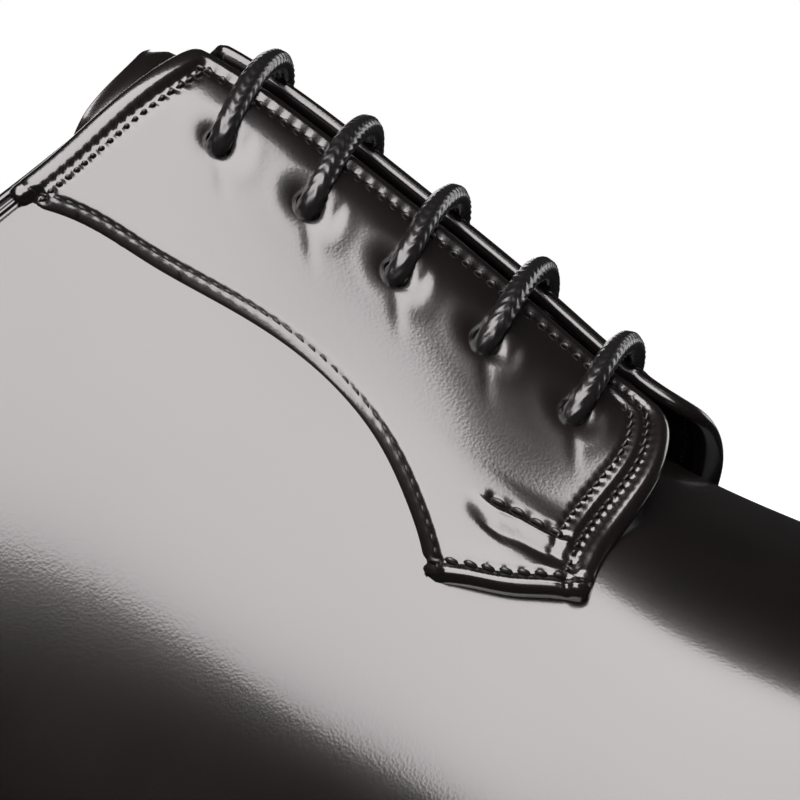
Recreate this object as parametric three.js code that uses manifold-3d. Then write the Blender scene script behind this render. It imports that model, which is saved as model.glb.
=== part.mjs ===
// Plain derby shoe for the right foot, in millimetres.
// X runs from the heel to the toe, Y to the inner side of the foot, and Z up from the floor.
// Its shape is that of the last: ribs from the feather edge, where upper and sole meet,
// up to the ridge that runs over the instep. Every leather piece lies on that surface.

import * as THREE from "three";
import { mergeVertices } from "three/addons/utils/BufferGeometryUtils.js";
import Module from "manifold-3d";

const wasm = await Module();
wasm.setup();

// Last
const LAST_LENGTH = 286;
const BALL_WIDTH = 96;
const INSTEP_RISE = 99;
const HEEL_HEIGHT = 18.5;
const HEEL_LENGTH = 70;
const TREAD_LENGTH = 30;
const TOE_SPRING = 12;

// Upper
const WALL = 2.2;
const SEAM_GAP = 0.3;
const SLOT_WIDTH = 41;
const TONGUE_THICKNESS = 2.6;
const FACING_THICKNESS = 2;
const THROAT_GAP = 11;
const LIFT_TOP = 1.8;
const LIFT_FRONT = 5.4;
const LIFT_REACH = 24;

// Lacing
const EYELETS = 5;
const EYELET_INSET = 10.4;
const EYELET_PITCH = 10.2;
const LACE = 3;
const LACE_BEND = 0.55;
const LACE_PLAY = 0.4;
const EYELET_PLAY = 0.6;

// Sole
const OUTSOLE_THICKNESS = 5;
const WELT_THICKNESS = 2.9;
const WELT_REACH = 5.2;
const WELT_TUCK = 5;
const INSOLE_THICKNESS = 2.5;
const HEEL_LIFTS = 3;
const TOP_PIECE_THICKNESS = 6;
const HEEL_TAPER = 0.35;
const HEEL_BREAST_HOLLOW = 3;

// Fineness of the faces
const STEPS_AROUND = 64;
const STEPS_UP = 13;
const SOLE_STEPS = 36;
const PATCH_STEP = 5.2;
const GIRTH_STEPS = 40;

// Feather edge from heel to toe, where the ribs of the last stand: along in shares of the last's
// length, the outer and inner side in shares of the ball's width, reach in shares of the welt's.
const FEATHER_EDGE = [
  { along: 0.0, outer: 0.0, inner: 0.0, reach: 0.4 },
  { along: 0.021, outer: 0.198, inner: 0.198, reach: 0.4 },
  { along: 0.087, outer: 0.318, inner: 0.318, reach: 0.42 },
  { along: 0.182, outer: 0.339, inner: 0.328, reach: 0.45 },
  { along: 0.283, outer: 0.333, inner: 0.297, reach: 0.5 },
  { along: 0.385, outer: 0.354, inner: 0.276, reach: 0.58 },
  { along: 0.486, outer: 0.411, inner: 0.297, reach: 0.76 },
  { along: 0.58, outer: 0.474, inner: 0.375, reach: 0.94 },
  { along: 0.671, outer: 0.498, inner: 0.469, reach: 1.0 },
  { along: 0.762, outer: 0.464, inner: 0.505, reach: 1.0 },
  { along: 0.86, outer: 0.39, inner: 0.465, reach: 1.0 },
  { along: 0.956, outer: 0.225, inner: 0.32, reach: 1.03 },
  { along: 1.0, outer: -0.052, inner: 0.052, reach: 1.06 },
];

// Body of the same ribs: crest is the ridge's place in shares of the last's length. Shift of the
// ridge to the inner side, roundness of the crown and swell of the wall are shares of the ball's
// width, and wall is the share of the rib's rise at which the wall turns in.
const RIB_BODY = [
  { crest: 0.101, shift: 0.0, crown: 0.271, swell: 0.094, wall: 0.52 },
  { crest: 0.115, shift: 0.0, crown: 0.281, swell: 0.083, wall: 0.52 },
  { crest: 0.157, shift: 0.0, crown: 0.271, swell: 0.068, wall: 0.5 },
  { crest: 0.224, shift: 0.0, crown: 0.229, swell: 0.052, wall: 0.5 },
  { crest: 0.308, shift: 0.005, crown: 0.208, swell: 0.047, wall: 0.5 },
  { crest: 0.395, shift: 0.01, crown: 0.208, swell: 0.052, wall: 0.5 },
  { crest: 0.486, shift: 0.016, crown: 0.234, swell: 0.057, wall: 0.5 },
  { crest: 0.57, shift: 0.021, crown: 0.276, swell: 0.052, wall: 0.52 },
  { crest: 0.654, shift: 0.031, crown: 0.302, swell: 0.042, wall: 0.54 },
  { crest: 0.731, shift: 0.042, crown: 0.307, swell: 0.036, wall: 0.56 },
  { crest: 0.801, shift: 0.047, crown: 0.276, swell: 0.036, wall: 0.6 },
  { crest: 0.857, shift: 0.052, crown: 0.229, swell: 0.036, wall: 0.62 },
  { crest: 0.881, shift: 0.052, crown: 0.2125, swell: 0.036, wall: 0.62 },
];

// Height of the ridge over the feather edge: shares of the last's length and of the instep's rise.
const RIDGE = [
  { along: 0.101, rise: 0.949 },
  { along: 0.157, rise: 0.99 },
  { along: 0.227, rise: 1.0 },
  { along: 0.315, rise: 0.984 },
  { along: 0.367, rise: 0.961 },
  { along: 0.406, rise: 0.915 },
  { along: 0.455, rise: 0.834 },
  { along: 0.507, rise: 0.733 },
  { along: 0.552, rise: 0.63 },
  { along: 0.594, rise: 0.558 },
  { along: 0.647, rise: 0.492 },
  { along: 0.699, rise: 0.436 },
  { along: 0.752, rise: 0.395 },
  { along: 0.815, rise: 0.352 },
  { along: 0.874, rise: 0.306 },
  { along: 0.913, rise: 0.267 },
];

// Topline seen from the side, from behind the heel to clear of the instep, in the same shares.
const TOPLINE = [
  { along: -0.05, rise: 0.66 },
  { along: 0.0, rise: 0.621 },
  { along: 0.035, rise: 0.591 },
  { along: 0.087, rise: 0.551 },
  { along: 0.15, rise: 0.535 },
  { along: 0.2, rise: 0.561 },
  { along: 0.245, rise: 0.626 },
  { along: 0.28, rise: 0.698 },
  { along: 0.3105, rise: 0.777 },
  { along: 0.3304, rise: 0.837 },
  { along: 0.3587, rise: 0.93 },
  { along: 0.3713, rise: 0.966 },
  { along: 0.3801, rise: 0.985 },
  { along: 0.3895, rise: 0.992 },
  { along: 0.4, rise: 0.992 },
  { along: 0.43, rise: 1.06 },
];

// End of the tongue, seen from the side, in the same shares.
const TONGUE_END = [
  { along: 0.27, rise: 0.72 },
  { along: 0.3262, rise: 0.862 },
  { along: 0.3584, rise: 0.978 },
  { along: 0.38, rise: 1.1 },
];

// Cut edges of a facing: shares of the last's length along the ridge, and of the ball's width
// down from it. The seam runs from the collar down to the tab, and the front edge comes back up.
const FACING_SEAM = [
  { along: 0.296, down: 0.321 },
  { along: 0.339, down: 0.345 },
  { along: 0.383, down: 0.356 },
  { along: 0.426, down: 0.342 },
  { along: 0.456, down: 0.345 },
  { along: 0.475, down: 0.371 },
  { along: 0.49, down: 0.422 },
  { along: 0.4985, down: 0.47 },
  { along: 0.501, down: 0.502 },
];
const FACING_FRONT = [
  { along: 0.563, down: 0.4 },
  { along: 0.5665, down: 0.324 },
  { along: 0.5715, down: 0.267 },
  { along: 0.576, down: 0.219 },
  { along: 0.5785, down: 0.172 },
  { along: 0.5765, down: 0.118 },
  { along: 0.569, down: 0.074 },
];

// Places along the ridge, as shares of the last's length
const BALL_PLACE = 0.636;
const FACING_TOP = 0.34;
const FACING_CORNER = 0.555;
const FIRST_EYELET = 0.3958;
const SLOT_TOP = 0.24;
const SLOT_FRONT = 0.572;
const TONGUE_TOP = 0.3;
const LIFT_START = 0.378;

const RIBS = FEATHER_EDGE.map((row, i) => ({ ...row, ...RIB_BODY[i] }));
const LAST_ROW = RIBS.length - 1;
const ROWS_AROUND = 2 * LAST_ROW;
const HALF_GAP = THROAT_GAP / 2;
const FEATHER_OVER_TREAD = OUTSOLE_THICKNESS + WELT_THICKNESS + 2 * SEAM_GAP;

const leather = { color: 0x1a1517, roughness: 0.24, metalness: 0 };
const liningLeather = { color: 0x8a6a4c, roughness: 0.6, metalness: 0 };
const waxedCotton = { color: 0x1c1819, roughness: 0.55, metalness: 0 };
const soleLeather = { color: 0x221a17, roughness: 0.45, metalness: 0 };
const rubber = { color: 0x161514, roughness: 0.7, metalness: 0 };

// Smooth curve through the values, with no sudden change of bend
function throughValues(places, values) {
  const count = places.length;
  const bend = new Array(count).fill(0);
  const carry = new Array(count).fill(0);
  for (let i = 1; i < count - 1; i += 1) {
    const before = places[i] - places[i - 1];
    const after = places[i + 1] - places[i];
    const slopes = (values[i + 1] - values[i]) / after - (values[i] - values[i - 1]) / before;
    const pivot = 2 * (before + after) - before * carry[i - 1];
    carry[i] = after / pivot;
    bend[i] = (6 * slopes - before * bend[i - 1]) / pivot;
  }
  for (let i = count - 2; i > 0; i -= 1) bend[i] -= carry[i] * bend[i + 1];
  return (place) => {
    let k = 0;
    while (k < count - 2 && place > places[k + 1]) k += 1;
    const span = places[k + 1] - places[k];
    const a = (places[k + 1] - place) / span;
    const b = (place - places[k]) / span;
    const curve = (a ** 3 - a) * bend[k] + (b ** 3 - b) * bend[k + 1];
    return a * values[k] + b * values[k + 1] + (curve * span * span) / 6;
  };
}

// Column of the ribs as a closed loop: outer side from heel to toe, and back on the inner side
function aroundLast(outerSide, innerSide) {
  const back = RIBS.slice(1, LAST_ROW).reverse();
  const loop = [...RIBS.map(outerSide), ...back.map(innerSide)];
  const overlap = 4;
  const places = [];
  const values = [];
  for (let i = -overlap; i <= loop.length + overlap; i += 1) {
    places.push(i);
    values.push(loop[(i + loop.length) % loop.length]);
  }
  return throughValues(places, values);
}

const column = (name, size) => aroundLast((row) => row[name] * size, (row) => row[name] * size);
const footX = column("along", LAST_LENGTH);
const footY = aroundLast((row) => -row.outer * BALL_WIDTH, (row) => row.inner * BALL_WIDTH);
const crestX = column("crest", LAST_LENGTH);
const crestY = column("shift", BALL_WIDTH);
const crownSize = column("crown", BALL_WIDTH);
const swellSize = column("swell", BALL_WIDTH);
const wallShare = column("wall", 1);
const weltReach = column("reach", WELT_REACH);
const ridgeRise = throughValues(
  RIDGE.map((row) => row.along * LAST_LENGTH),
  RIDGE.map((row) => row.rise * INSTEP_RISE),
);

// Underside of the outsole: level heel seat, shank, level tread and toe spring
const treadStart = BALL_PLACE * LAST_LENGTH - TREAD_LENGTH / 2;
const treadEnd = BALL_PLACE * LAST_LENGTH + TREAD_LENGTH / 2;
function treadZ(x) {
  if (x <= HEEL_LENGTH) return HEEL_HEIGHT;
  if (x >= treadEnd) return TOE_SPRING * ((x - treadEnd) / (LAST_LENGTH + WELT_REACH - treadEnd)) ** 2;
  if (x >= treadStart) return 0;
  const share = (x - HEEL_LENGTH) / (treadStart - HEEL_LENGTH);
  return (HEEL_HEIGHT * (1 + Math.cos(Math.PI * share))) / 2;
}
const featherZ = (x) => treadZ(x) + FEATHER_OVER_TREAD;
const ridgeZ = (x) => featherZ(x) + ridgeRise(x);
const sidePoint = (row) => {
  const x = row.along * LAST_LENGTH;
  return new THREE.Vector2(x, featherZ(x) + row.rise * INSTEP_RISE);
};

// Point of the feather edge, moved outward by some reach
function footprint(turn, reach) {
  const nudge = 0.01;
  const tangentX = footX(turn + nudge) - footX(turn - nudge);
  const tangentY = footY(turn + nudge) - footY(turn - nudge);
  const size = Math.hypot(tangentX, tangentY);
  return new THREE.Vector2(
    footX(turn) + (reach * tangentY) / size,
    footY(turn) - (reach * tangentX) / size,
  );
}

// Rib of the last: from the feather edge up the swelling wall and over the crown to the ridge
function rib(turn) {
  const row = Math.min(turn, ROWS_AROUND - turn);
  const foot = footprint(turn, 0);
  const swollen = footprint(turn, swellSize(turn));
  const footZ = featherZ(foot.x);
  const topX = crestX(row);
  const topY = crestY(row);
  const topZ = ridgeZ(topX);
  const nudge = 0.1;
  const pitch = (ridgeZ(topX + nudge) - ridgeZ(topX - nudge)) / (2 * nudge);
  const away = Math.hypot(foot.x - topX, foot.y - topY);
  const crown = crownSize(turn) / away;
  const crownX = crown * (foot.x - topX);
  const crownY = crown * (foot.y - topY);
  return {
    pitch,
    curve: new THREE.CubicBezierCurve3(
      new THREE.Vector3(foot.x, foot.y, footZ),
      new THREE.Vector3(swollen.x, swollen.y, footZ + wallShare(turn) * (topZ - footZ)),
      new THREE.Vector3(topX + crownX, topY + crownY, topZ + pitch * crownX),
      new THREE.Vector3(topX, topY, topZ),
    ),
  };
}

// Point over the last: turn is the place around it, share the place up the rib
function lastPoint(turn, share, height) {
  const round = (turn + ROWS_AROUND) % ROWS_AROUND;
  const here = rib(round);
  const point = here.curve.getPoint(share);
  if (height === 0) return point;
  if (share > 0.9999) {
    const normal = new THREE.Vector3(-here.pitch, 0, 1).normalize();
    return point.addScaledVector(normal, height);
  }
  const nudge = 0.01;
  const ahead = rib((round + nudge) % ROWS_AROUND).curve.getPoint(share);
  const behind = rib((round - nudge + ROWS_AROUND) % ROWS_AROUND).curve.getPoint(share);
  const upward = here.curve.getTangent(share);
  const normal = ahead.sub(behind).cross(upward).normalize();
  point.addScaledVector(normal, height);
  if (share === 0) point.z = featherZ(point.x);
  return point;
}

// Row whose ridge lies at a place along the last
function rowAt(along) {
  let low = 0;
  let high = LAST_ROW;
  while (high - low > 0.0005) {
    const middle = (low + high) / 2;
    if (crestX(middle) < along) low = middle;
    else high = middle;
  }
  return (low + high) / 2;
}

// Place on the last's skin: along the ridge, and across from it by the tape, inner side positive
function place(along, across, height) {
  const row = rowAt(along);
  const turn = across < 0 ? row : ROWS_AROUND - row;
  const curve = rib(turn).curve;
  let share = 1;
  let girth = 0;
  let last = curve.getPoint(1);
  while (share > 0 && girth < Math.abs(across)) {
    const next = curve.getPoint(share - 1 / GIRTH_STEPS);
    const step = next.distanceTo(last);
    const part = Math.min(1, (Math.abs(across) - girth) / step);
    share -= part / GIRTH_STEPS;
    girth += step;
    last = next;
  }
  return lastPoint(turn, Math.max(0, share), height);
}

// Closed surface from its corners, as a solid for cuts and joins
function solidOf(geometry) {
  const bare = geometry.index ? geometry : geometry.clone();
  for (const name of Object.keys(bare.attributes)) {
    if (name !== "position") bare.deleteAttribute(name);
  }
  const merged = mergeVertices(bare, 0.0005);
  return new wasm.Manifold(new wasm.Mesh({
    numProp: 3,
    vertProperties: new Float32Array(merged.attributes.position.array),
    triVerts: new Uint32Array(merged.index.array),
  }));
}

function geometryOf(solid) {
  const { vertProperties, triVerts } = solid.getMesh();
  const geometry = new THREE.BufferGeometry();
  geometry.setAttribute("position", new THREE.BufferAttribute(vertProperties, 3));
  geometry.setIndex(new THREE.BufferAttribute(triVerts, 1));
  return geometry;
}

function facesOf(points, faces) {
  const geometry = new THREE.BufferGeometry().setFromPoints(points);
  geometry.setIndex(faces);
  return geometry;
}

const shoe = new THREE.Group();

function addPiece(name, solid, finish) {
  const geometry = geometryOf(solid);
  geometry.computeVertexNormals();
  const piece = new THREE.Mesh(geometry, new THREE.MeshStandardMaterial(finish));
  piece.name = name;
  shoe.add(piece);
}

// Shape seen from the side, run through the whole width
function sideCutter(rows, smooth) {
  const points = rows.map(sidePoint);
  const line = smooth ? new THREE.SplineCurve(points).getPoints(4 * rows.length) : points;
  const sky = 2 * INSTEP_RISE;
  const shape = new THREE.Shape(line);
  shape.lineTo(line[line.length - 1].x, sky);
  shape.lineTo(line[0].x, sky);
  const geometry = new THREE.ExtrudeGeometry(shape, { depth: 2 * BALL_WIDTH, bevelEnabled: false });
  geometry.rotateX(Math.PI / 2);
  geometry.translate(0, BALL_WIDTH, 0);
  return solidOf(geometry);
}

// Piece of leather: an outline cut on the pattern, then laid on the last between two heights.
// The pattern is cambered while it is cut, so that each cell of its grid keeps its corners.
function patch(outline, lowerHeight, upperHeight) {
  const camber = 0.0002;
  const box = new THREE.Box2().setFromPoints(outline.getPoints());
  const size = box.getSize(new THREE.Vector2());
  const middle = box.getCenter(new THREE.Vector2());
  const rise = (x, y) => camber * ((x - middle.x) ** 2 + (y - middle.y) ** 2);
  const grid = new THREE.BoxGeometry(
    size.x + 2,
    size.y + 2,
    1,
    Math.ceil(size.x / PATCH_STEP),
    Math.ceil(size.y / PATCH_STEP),
    1,
  );
  grid.translate(middle.x, middle.y, 0.5);
  const cells = grid.attributes.position;
  for (let i = 0; i < cells.count; i += 1) {
    cells.setZ(i, cells.getZ(i) + rise(cells.getX(i), cells.getY(i)));
  }
  const through = { depth: 2 * BALL_WIDTH, bevelEnabled: false, curveSegments: 5 };
  const cutter = new THREE.ExtrudeGeometry(outline, through);
  cutter.translate(0, 0, -BALL_WIDTH);
  const flat = geometryOf(solidOf(grid).intersect(solidOf(cutter)));
  const corners = flat.attributes.position;
  for (let i = 0; i < corners.count; i += 1) {
    const along = corners.getX(i);
    const across = corners.getY(i);
    const level = Math.round(corners.getZ(i) - rise(along, across));
    const height = level ? upperHeight : lowerHeight;
    const point = place(along, across, height(along, Math.abs(across)));
    corners.setXYZ(i, point.x, point.y, point.z);
  }
  return solidOf(flat);
}

// Upper: vamp and quarters in one skin, closed over the toe and open underneath
function lastedSkin() {
  const points = [];
  const faces = [];
  const ring = STEPS_UP + 1;
  const outside = STEPS_AROUND * ring;
  for (const height of [0, WALL]) {
    for (let i = 0; i < STEPS_AROUND; i += 1) {
      const turn = (i * ROWS_AROUND) / STEPS_AROUND;
      for (let j = 0; j <= STEPS_UP; j += 1) points.push(lastPoint(turn, j / STEPS_UP, height));
    }
  }
  for (let i = 0; i < STEPS_AROUND; i += 1) {
    const next = (i + 1) % STEPS_AROUND;
    for (let j = 0; j < STEPS_UP; j += 1) {
      const a = i * ring + j;
      const b = next * ring + j;
      faces.push(a, b + 1, b, a, a + 1, b + 1);
      faces.push(outside + a, outside + b, outside + b + 1);
      faces.push(outside + a, outside + b + 1, outside + a + 1);
    }
    const foot = i * ring;
    const nextFoot = next * ring;
    faces.push(foot, nextFoot, outside + nextFoot);
    faces.push(foot, outside + nextFoot, outside + foot);
  }
  return solidOf(facesOf(points, faces));
}

// Slot under the facings, where the tongue lies at the level of the upper
function slotOutline(halfWidth, top, front) {
  const round = halfWidth / 2;
  const outline = new THREE.Shape();
  outline.moveTo(top, -halfWidth);
  outline.lineTo(front - round, -halfWidth);
  outline.quadraticCurveTo(front, -halfWidth, front, 0);
  outline.quadraticCurveTo(front, halfWidth, front - round, halfWidth);
  outline.lineTo(top, halfWidth);
  outline.closePath();
  return outline;
}

const constant = (value) => () => value;
const topCut = sideCutter(TOPLINE, true);
const slotHalf = SLOT_WIDTH / 2;
const slotFront = SLOT_FRONT * LAST_LENGTH;
const slot = patch(
  slotOutline(slotHalf, SLOT_TOP * LAST_LENGTH, slotFront),
  constant(-2 * WALL),
  constant(3 * WALL),
);
addPiece("upper", lastedSkin().subtract(topCut).subtract(slot), leather);

const tongue = patch(
  slotOutline(slotHalf - SEAM_GAP, TONGUE_TOP * LAST_LENGTH, slotFront - SEAM_GAP),
  constant(WALL - TONGUE_THICKNESS),
  constant(WALL),
);
addPiece("tongue", tongue.subtract(sideCutter(TONGUE_END, false)), leather);

// Facings: they rise from the seam to the throat, where they bridge over the tongue
const liftStart = LIFT_START * LAST_LENGTH;
const liftEnd = Math.max(...FACING_FRONT.map((row) => row.along)) * LAST_LENGTH;
function facingFloor(along, down) {
  const forward = THREE.MathUtils.clamp((along - liftStart) / (liftEnd - liftStart), 0, 1);
  const lift = LIFT_TOP + (LIFT_FRONT - LIFT_TOP) * forward;
  const settle = THREE.MathUtils.smoothstep(down, HALF_GAP, HALF_GAP + LIFT_REACH);
  return WALL + SEAM_GAP + lift * (1 - settle);
}
const facingTop = (along, down) => facingFloor(along, down) + FACING_THICKNESS;

const patternPoint = (row, side) => {
  return new THREE.Vector2(row.along * LAST_LENGTH, side * row.down * BALL_WIDTH);
};

function facingOutline(side) {
  const seam = FACING_SEAM.map((row) => patternPoint(row, side));
  const front = FACING_FRONT.map((row) => patternPoint(row, side));
  const corner = new THREE.Vector2(FACING_CORNER * LAST_LENGTH, side * HALF_GAP);
  const outline = new THREE.Shape();
  outline.moveTo(corner.x, corner.y);
  outline.lineTo(FACING_TOP * LAST_LENGTH, corner.y);
  outline.lineTo(seam[0].x, seam[0].y);
  outline.splineThru(seam.slice(1));
  outline.lineTo(front[0].x, front[0].y);
  outline.splineThru([...front.slice(1), corner]);
  return outline;
}

const eyeletPlaces = [];
for (let i = 0; i < EYELETS; i += 1) {
  eyeletPlaces.push(FIRST_EYELET * LAST_LENGTH + i * EYELET_PITCH);
}
const eyeletDown = HALF_GAP + EYELET_INSET;

function eyeletCutter(along, across) {
  const surface = facingTop(along, Math.abs(across));
  const from = place(along, across, surface - 2 * FACING_THICKNESS);
  const to = place(along, across, surface + FACING_THICKNESS);
  const radius = LACE / 2 + EYELET_PLAY;
  const hole = new THREE.CylinderGeometry(radius, radius, from.distanceTo(to), 12);
  const axis = to.clone().sub(from).normalize();
  hole.applyQuaternion(new THREE.Quaternion().setFromUnitVectors(THREE.Object3D.DEFAULT_UP, axis));
  const centre = from.lerp(to, 0.5);
  hole.translate(centre.x, centre.y, centre.z);
  return solidOf(hole);
}

for (const [name, side] of [["facing_lateral", -1], ["facing_medial", 1]]) {
  let facing = patch(facingOutline(side), facingFloor, facingTop).subtract(topCut);
  for (const along of eyeletPlaces) {
    facing = facing.subtract(eyeletCutter(along, side * eyeletDown));
  }
  addPiece(name, facing, leather);
}

// Lace bars: out of one eyelet, straight over the throat and into the other
function laceBar(along) {
  const clear = LACE / 2 + LACE_PLAY;
  const bend = LACE_BEND * LACE;
  const over = (down) => facingTop(along, down) + clear;
  const half = [
    { down: eyeletDown, height: facingFloor(along, eyeletDown) },
    { down: eyeletDown, height: facingTop(along, eyeletDown) },
    { down: eyeletDown - bend, height: over(eyeletDown - bend) },
    { down: (eyeletDown + HALF_GAP) / 2, height: over((eyeletDown + HALF_GAP) / 2) },
    { down: HALF_GAP, height: over(HALF_GAP) },
  ];
  const points = half.map((row) => place(along, -row.down, row.height));
  points.push(...half.reverse().map((row) => place(along, row.down, row.height)));
  const section = new THREE.Shape().absarc(0, 0, LACE / 2, 0, 2 * Math.PI);
  return solidOf(new THREE.ExtrudeGeometry(section, {
    steps: 18,
    curveSegments: 4,
    extrudePath: new THREE.CatmullRomCurve3(points, false, "centripetal"),
  }));
}
eyeletPlaces.forEach((along, i) => addPiece(`lace_bar_${i + 1}`, laceBar(along), waxedCotton));

// Sole plate with the outline of the last, moved out by a reach, between two heights
function solePlate(reach, lowZ, highZ) {
  const points = [];
  const faces = [];
  for (let i = 0; i < 2 * SOLE_STEPS; i += 1) {
    const turn = (i * ROWS_AROUND) / (2 * SOLE_STEPS);
    const edge = footprint(turn, reach(turn));
    points.push(new THREE.Vector3(edge.x, edge.y, lowZ(edge.x)));
    points.push(new THREE.Vector3(edge.x, edge.y, highZ(edge.x)));
  }
  const low = (i) => 2 * (i % (2 * SOLE_STEPS));
  const high = (i) => low(i) + 1;
  for (let i = 0; i < 2 * SOLE_STEPS; i += 1) {
    faces.push(low(i), low(i + 1), high(i + 1), low(i), high(i + 1), high(i));
  }
  for (let i = 0; i < SOLE_STEPS; i += 1) {
    const across = 2 * SOLE_STEPS - i;
    if (i > 0) {
      faces.push(low(i), low(across), low(across - 1));
      faces.push(high(i), high(across - 1), high(across));
    }
    if (i < SOLE_STEPS - 1) {
      faces.push(low(i), low(across - 1), low(i + 1));
      faces.push(high(i), high(i + 1), high(across - 1));
    }
  }
  return solidOf(facesOf(points, faces));
}

const outsoleTop = (x) => treadZ(x) + OUTSOLE_THICKNESS;
const weltBottom = (x) => outsoleTop(x) + SEAM_GAP;
const weltTop = (x) => weltBottom(x) + WELT_THICKNESS;
addPiece("outsole", solePlate(weltReach, treadZ, outsoleTop), soleLeather);

const weltInside = solePlate(
  constant(-WELT_TUCK),
  (x) => weltBottom(x) - WELT_THICKNESS,
  (x) => weltTop(x) + WELT_THICKNESS,
);
const welt = solePlate(weltReach, weltBottom, weltTop).subtract(weltInside);
addPiece("welt", welt, soleLeather);

const insoleInset = 2 * SEAM_GAP;
const insole = solePlate(constant(-insoleInset), featherZ, (x) => featherZ(x) + INSOLE_THICKNESS);
addPiece("insole", insole, liningLeather);

// Heel: level lifts of sole leather on a rubber top piece, with a hollowed breast
function rowAtFoot(x) {
  let low = 0;
  let high = LAST_ROW;
  while (high - low > 0.0005) {
    const middle = (low + high) / 2;
    if (footX(middle) < x) low = middle;
    else high = middle;
  }
  return low;
}

function heelLayer(inset, bottom, thickness) {
  const breastRow = rowAtFoot(HEEL_LENGTH);
  const steps = 24;
  const edge = [];
  for (let i = 0; i <= steps; i += 1) {
    const turn = (ROWS_AROUND - breastRow + (2 * breastRow * i) / steps) % ROWS_AROUND;
    edge.push(footprint(turn, weltReach(turn) - inset));
  }
  const shape = new THREE.Shape(edge);
  shape.quadraticCurveTo(HEEL_LENGTH - 2 * HEEL_BREAST_HOLLOW, 0, edge[0].x, edge[0].y);
  const geometry = new THREE.ExtrudeGeometry(shape, {
    depth: thickness,
    bevelEnabled: false,
    curveSegments: 8,
  });
  geometry.translate(0, 0, bottom);
  return solidOf(geometry);
}

const liftsHeight = HEEL_HEIGHT - TOP_PIECE_THICKNESS - (HEEL_LIFTS + 1) * SEAM_GAP;
const liftThickness = liftsHeight / HEEL_LIFTS;
addPiece("heel_top_piece", heelLayer(HEEL_LIFTS * HEEL_TAPER, 0, TOP_PIECE_THICKNESS), rubber);
for (let i = 0; i < HEEL_LIFTS; i += 1) {
  const bottom = TOP_PIECE_THICKNESS + SEAM_GAP + i * (liftThickness + SEAM_GAP);
  const inset = (HEEL_LIFTS - i - 1) * HEEL_TAPER;
  addPiece(`heel_lift_${i + 1}`, heelLayer(inset, bottom, liftThickness), soleLeather);
}

// The origin lies on the floor under the middle of the shoe
const reachOfShoe = new THREE.Box3().setFromObject(shoe);
const middleOfShoe = reachOfShoe.getCenter(new THREE.Vector3());
shoe.position.set(-middleOfShoe.x, -middleOfShoe.y, -reachOfShoe.min.z);

export default shoe;
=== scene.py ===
import math

import bpy
import numpy as np
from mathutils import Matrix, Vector


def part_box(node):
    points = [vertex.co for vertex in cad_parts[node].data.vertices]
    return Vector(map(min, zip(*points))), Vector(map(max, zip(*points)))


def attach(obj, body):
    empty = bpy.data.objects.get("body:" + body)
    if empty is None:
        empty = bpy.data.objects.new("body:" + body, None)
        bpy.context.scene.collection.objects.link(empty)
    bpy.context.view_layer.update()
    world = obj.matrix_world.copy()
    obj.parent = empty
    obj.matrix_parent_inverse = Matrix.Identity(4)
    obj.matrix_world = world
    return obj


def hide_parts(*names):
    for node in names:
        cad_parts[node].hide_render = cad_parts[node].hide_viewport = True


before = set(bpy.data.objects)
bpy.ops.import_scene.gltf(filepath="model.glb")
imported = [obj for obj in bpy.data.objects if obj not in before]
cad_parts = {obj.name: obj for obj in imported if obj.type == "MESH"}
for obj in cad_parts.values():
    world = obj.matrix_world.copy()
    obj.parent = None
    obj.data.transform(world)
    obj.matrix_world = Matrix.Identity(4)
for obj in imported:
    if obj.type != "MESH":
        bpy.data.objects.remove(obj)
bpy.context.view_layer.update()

# Camera: it looks at the lacing from the outer side, a little from ahead and above, through a
# long lens from 0.9 m away, so that the facings fill the picture and heel, toe and sole run
# out of it.
LOOK_AT = Vector((-0.0056, -0.0205, 0.0769))
AZIMUTH = math.radians(11)
ELEVATION = math.radians(4.5)
DISTANCE = 0.9
LENS = 332.0

towards_camera = Vector((
    math.sin(AZIMUTH) * math.cos(ELEVATION),
    -math.cos(AZIMUTH) * math.cos(ELEVATION),
    math.sin(ELEVATION),
))
camera_data = bpy.data.cameras.new("camera")
camera_data.lens = LENS
camera_data.sensor_width = 36.0
camera_data.clip_start = 0.01
camera_data.clip_end = 50.0
camera = bpy.data.objects.new("camera", camera_data)
camera.location = LOOK_AT + towards_camera * DISTANCE
camera.rotation_mode = "QUATERNION"
camera.rotation_quaternion = (-towards_camera).to_track_quat("-Z", "Y")
bpy.context.scene.collection.objects.link(camera)
bpy.context.scene.camera = camera


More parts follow.
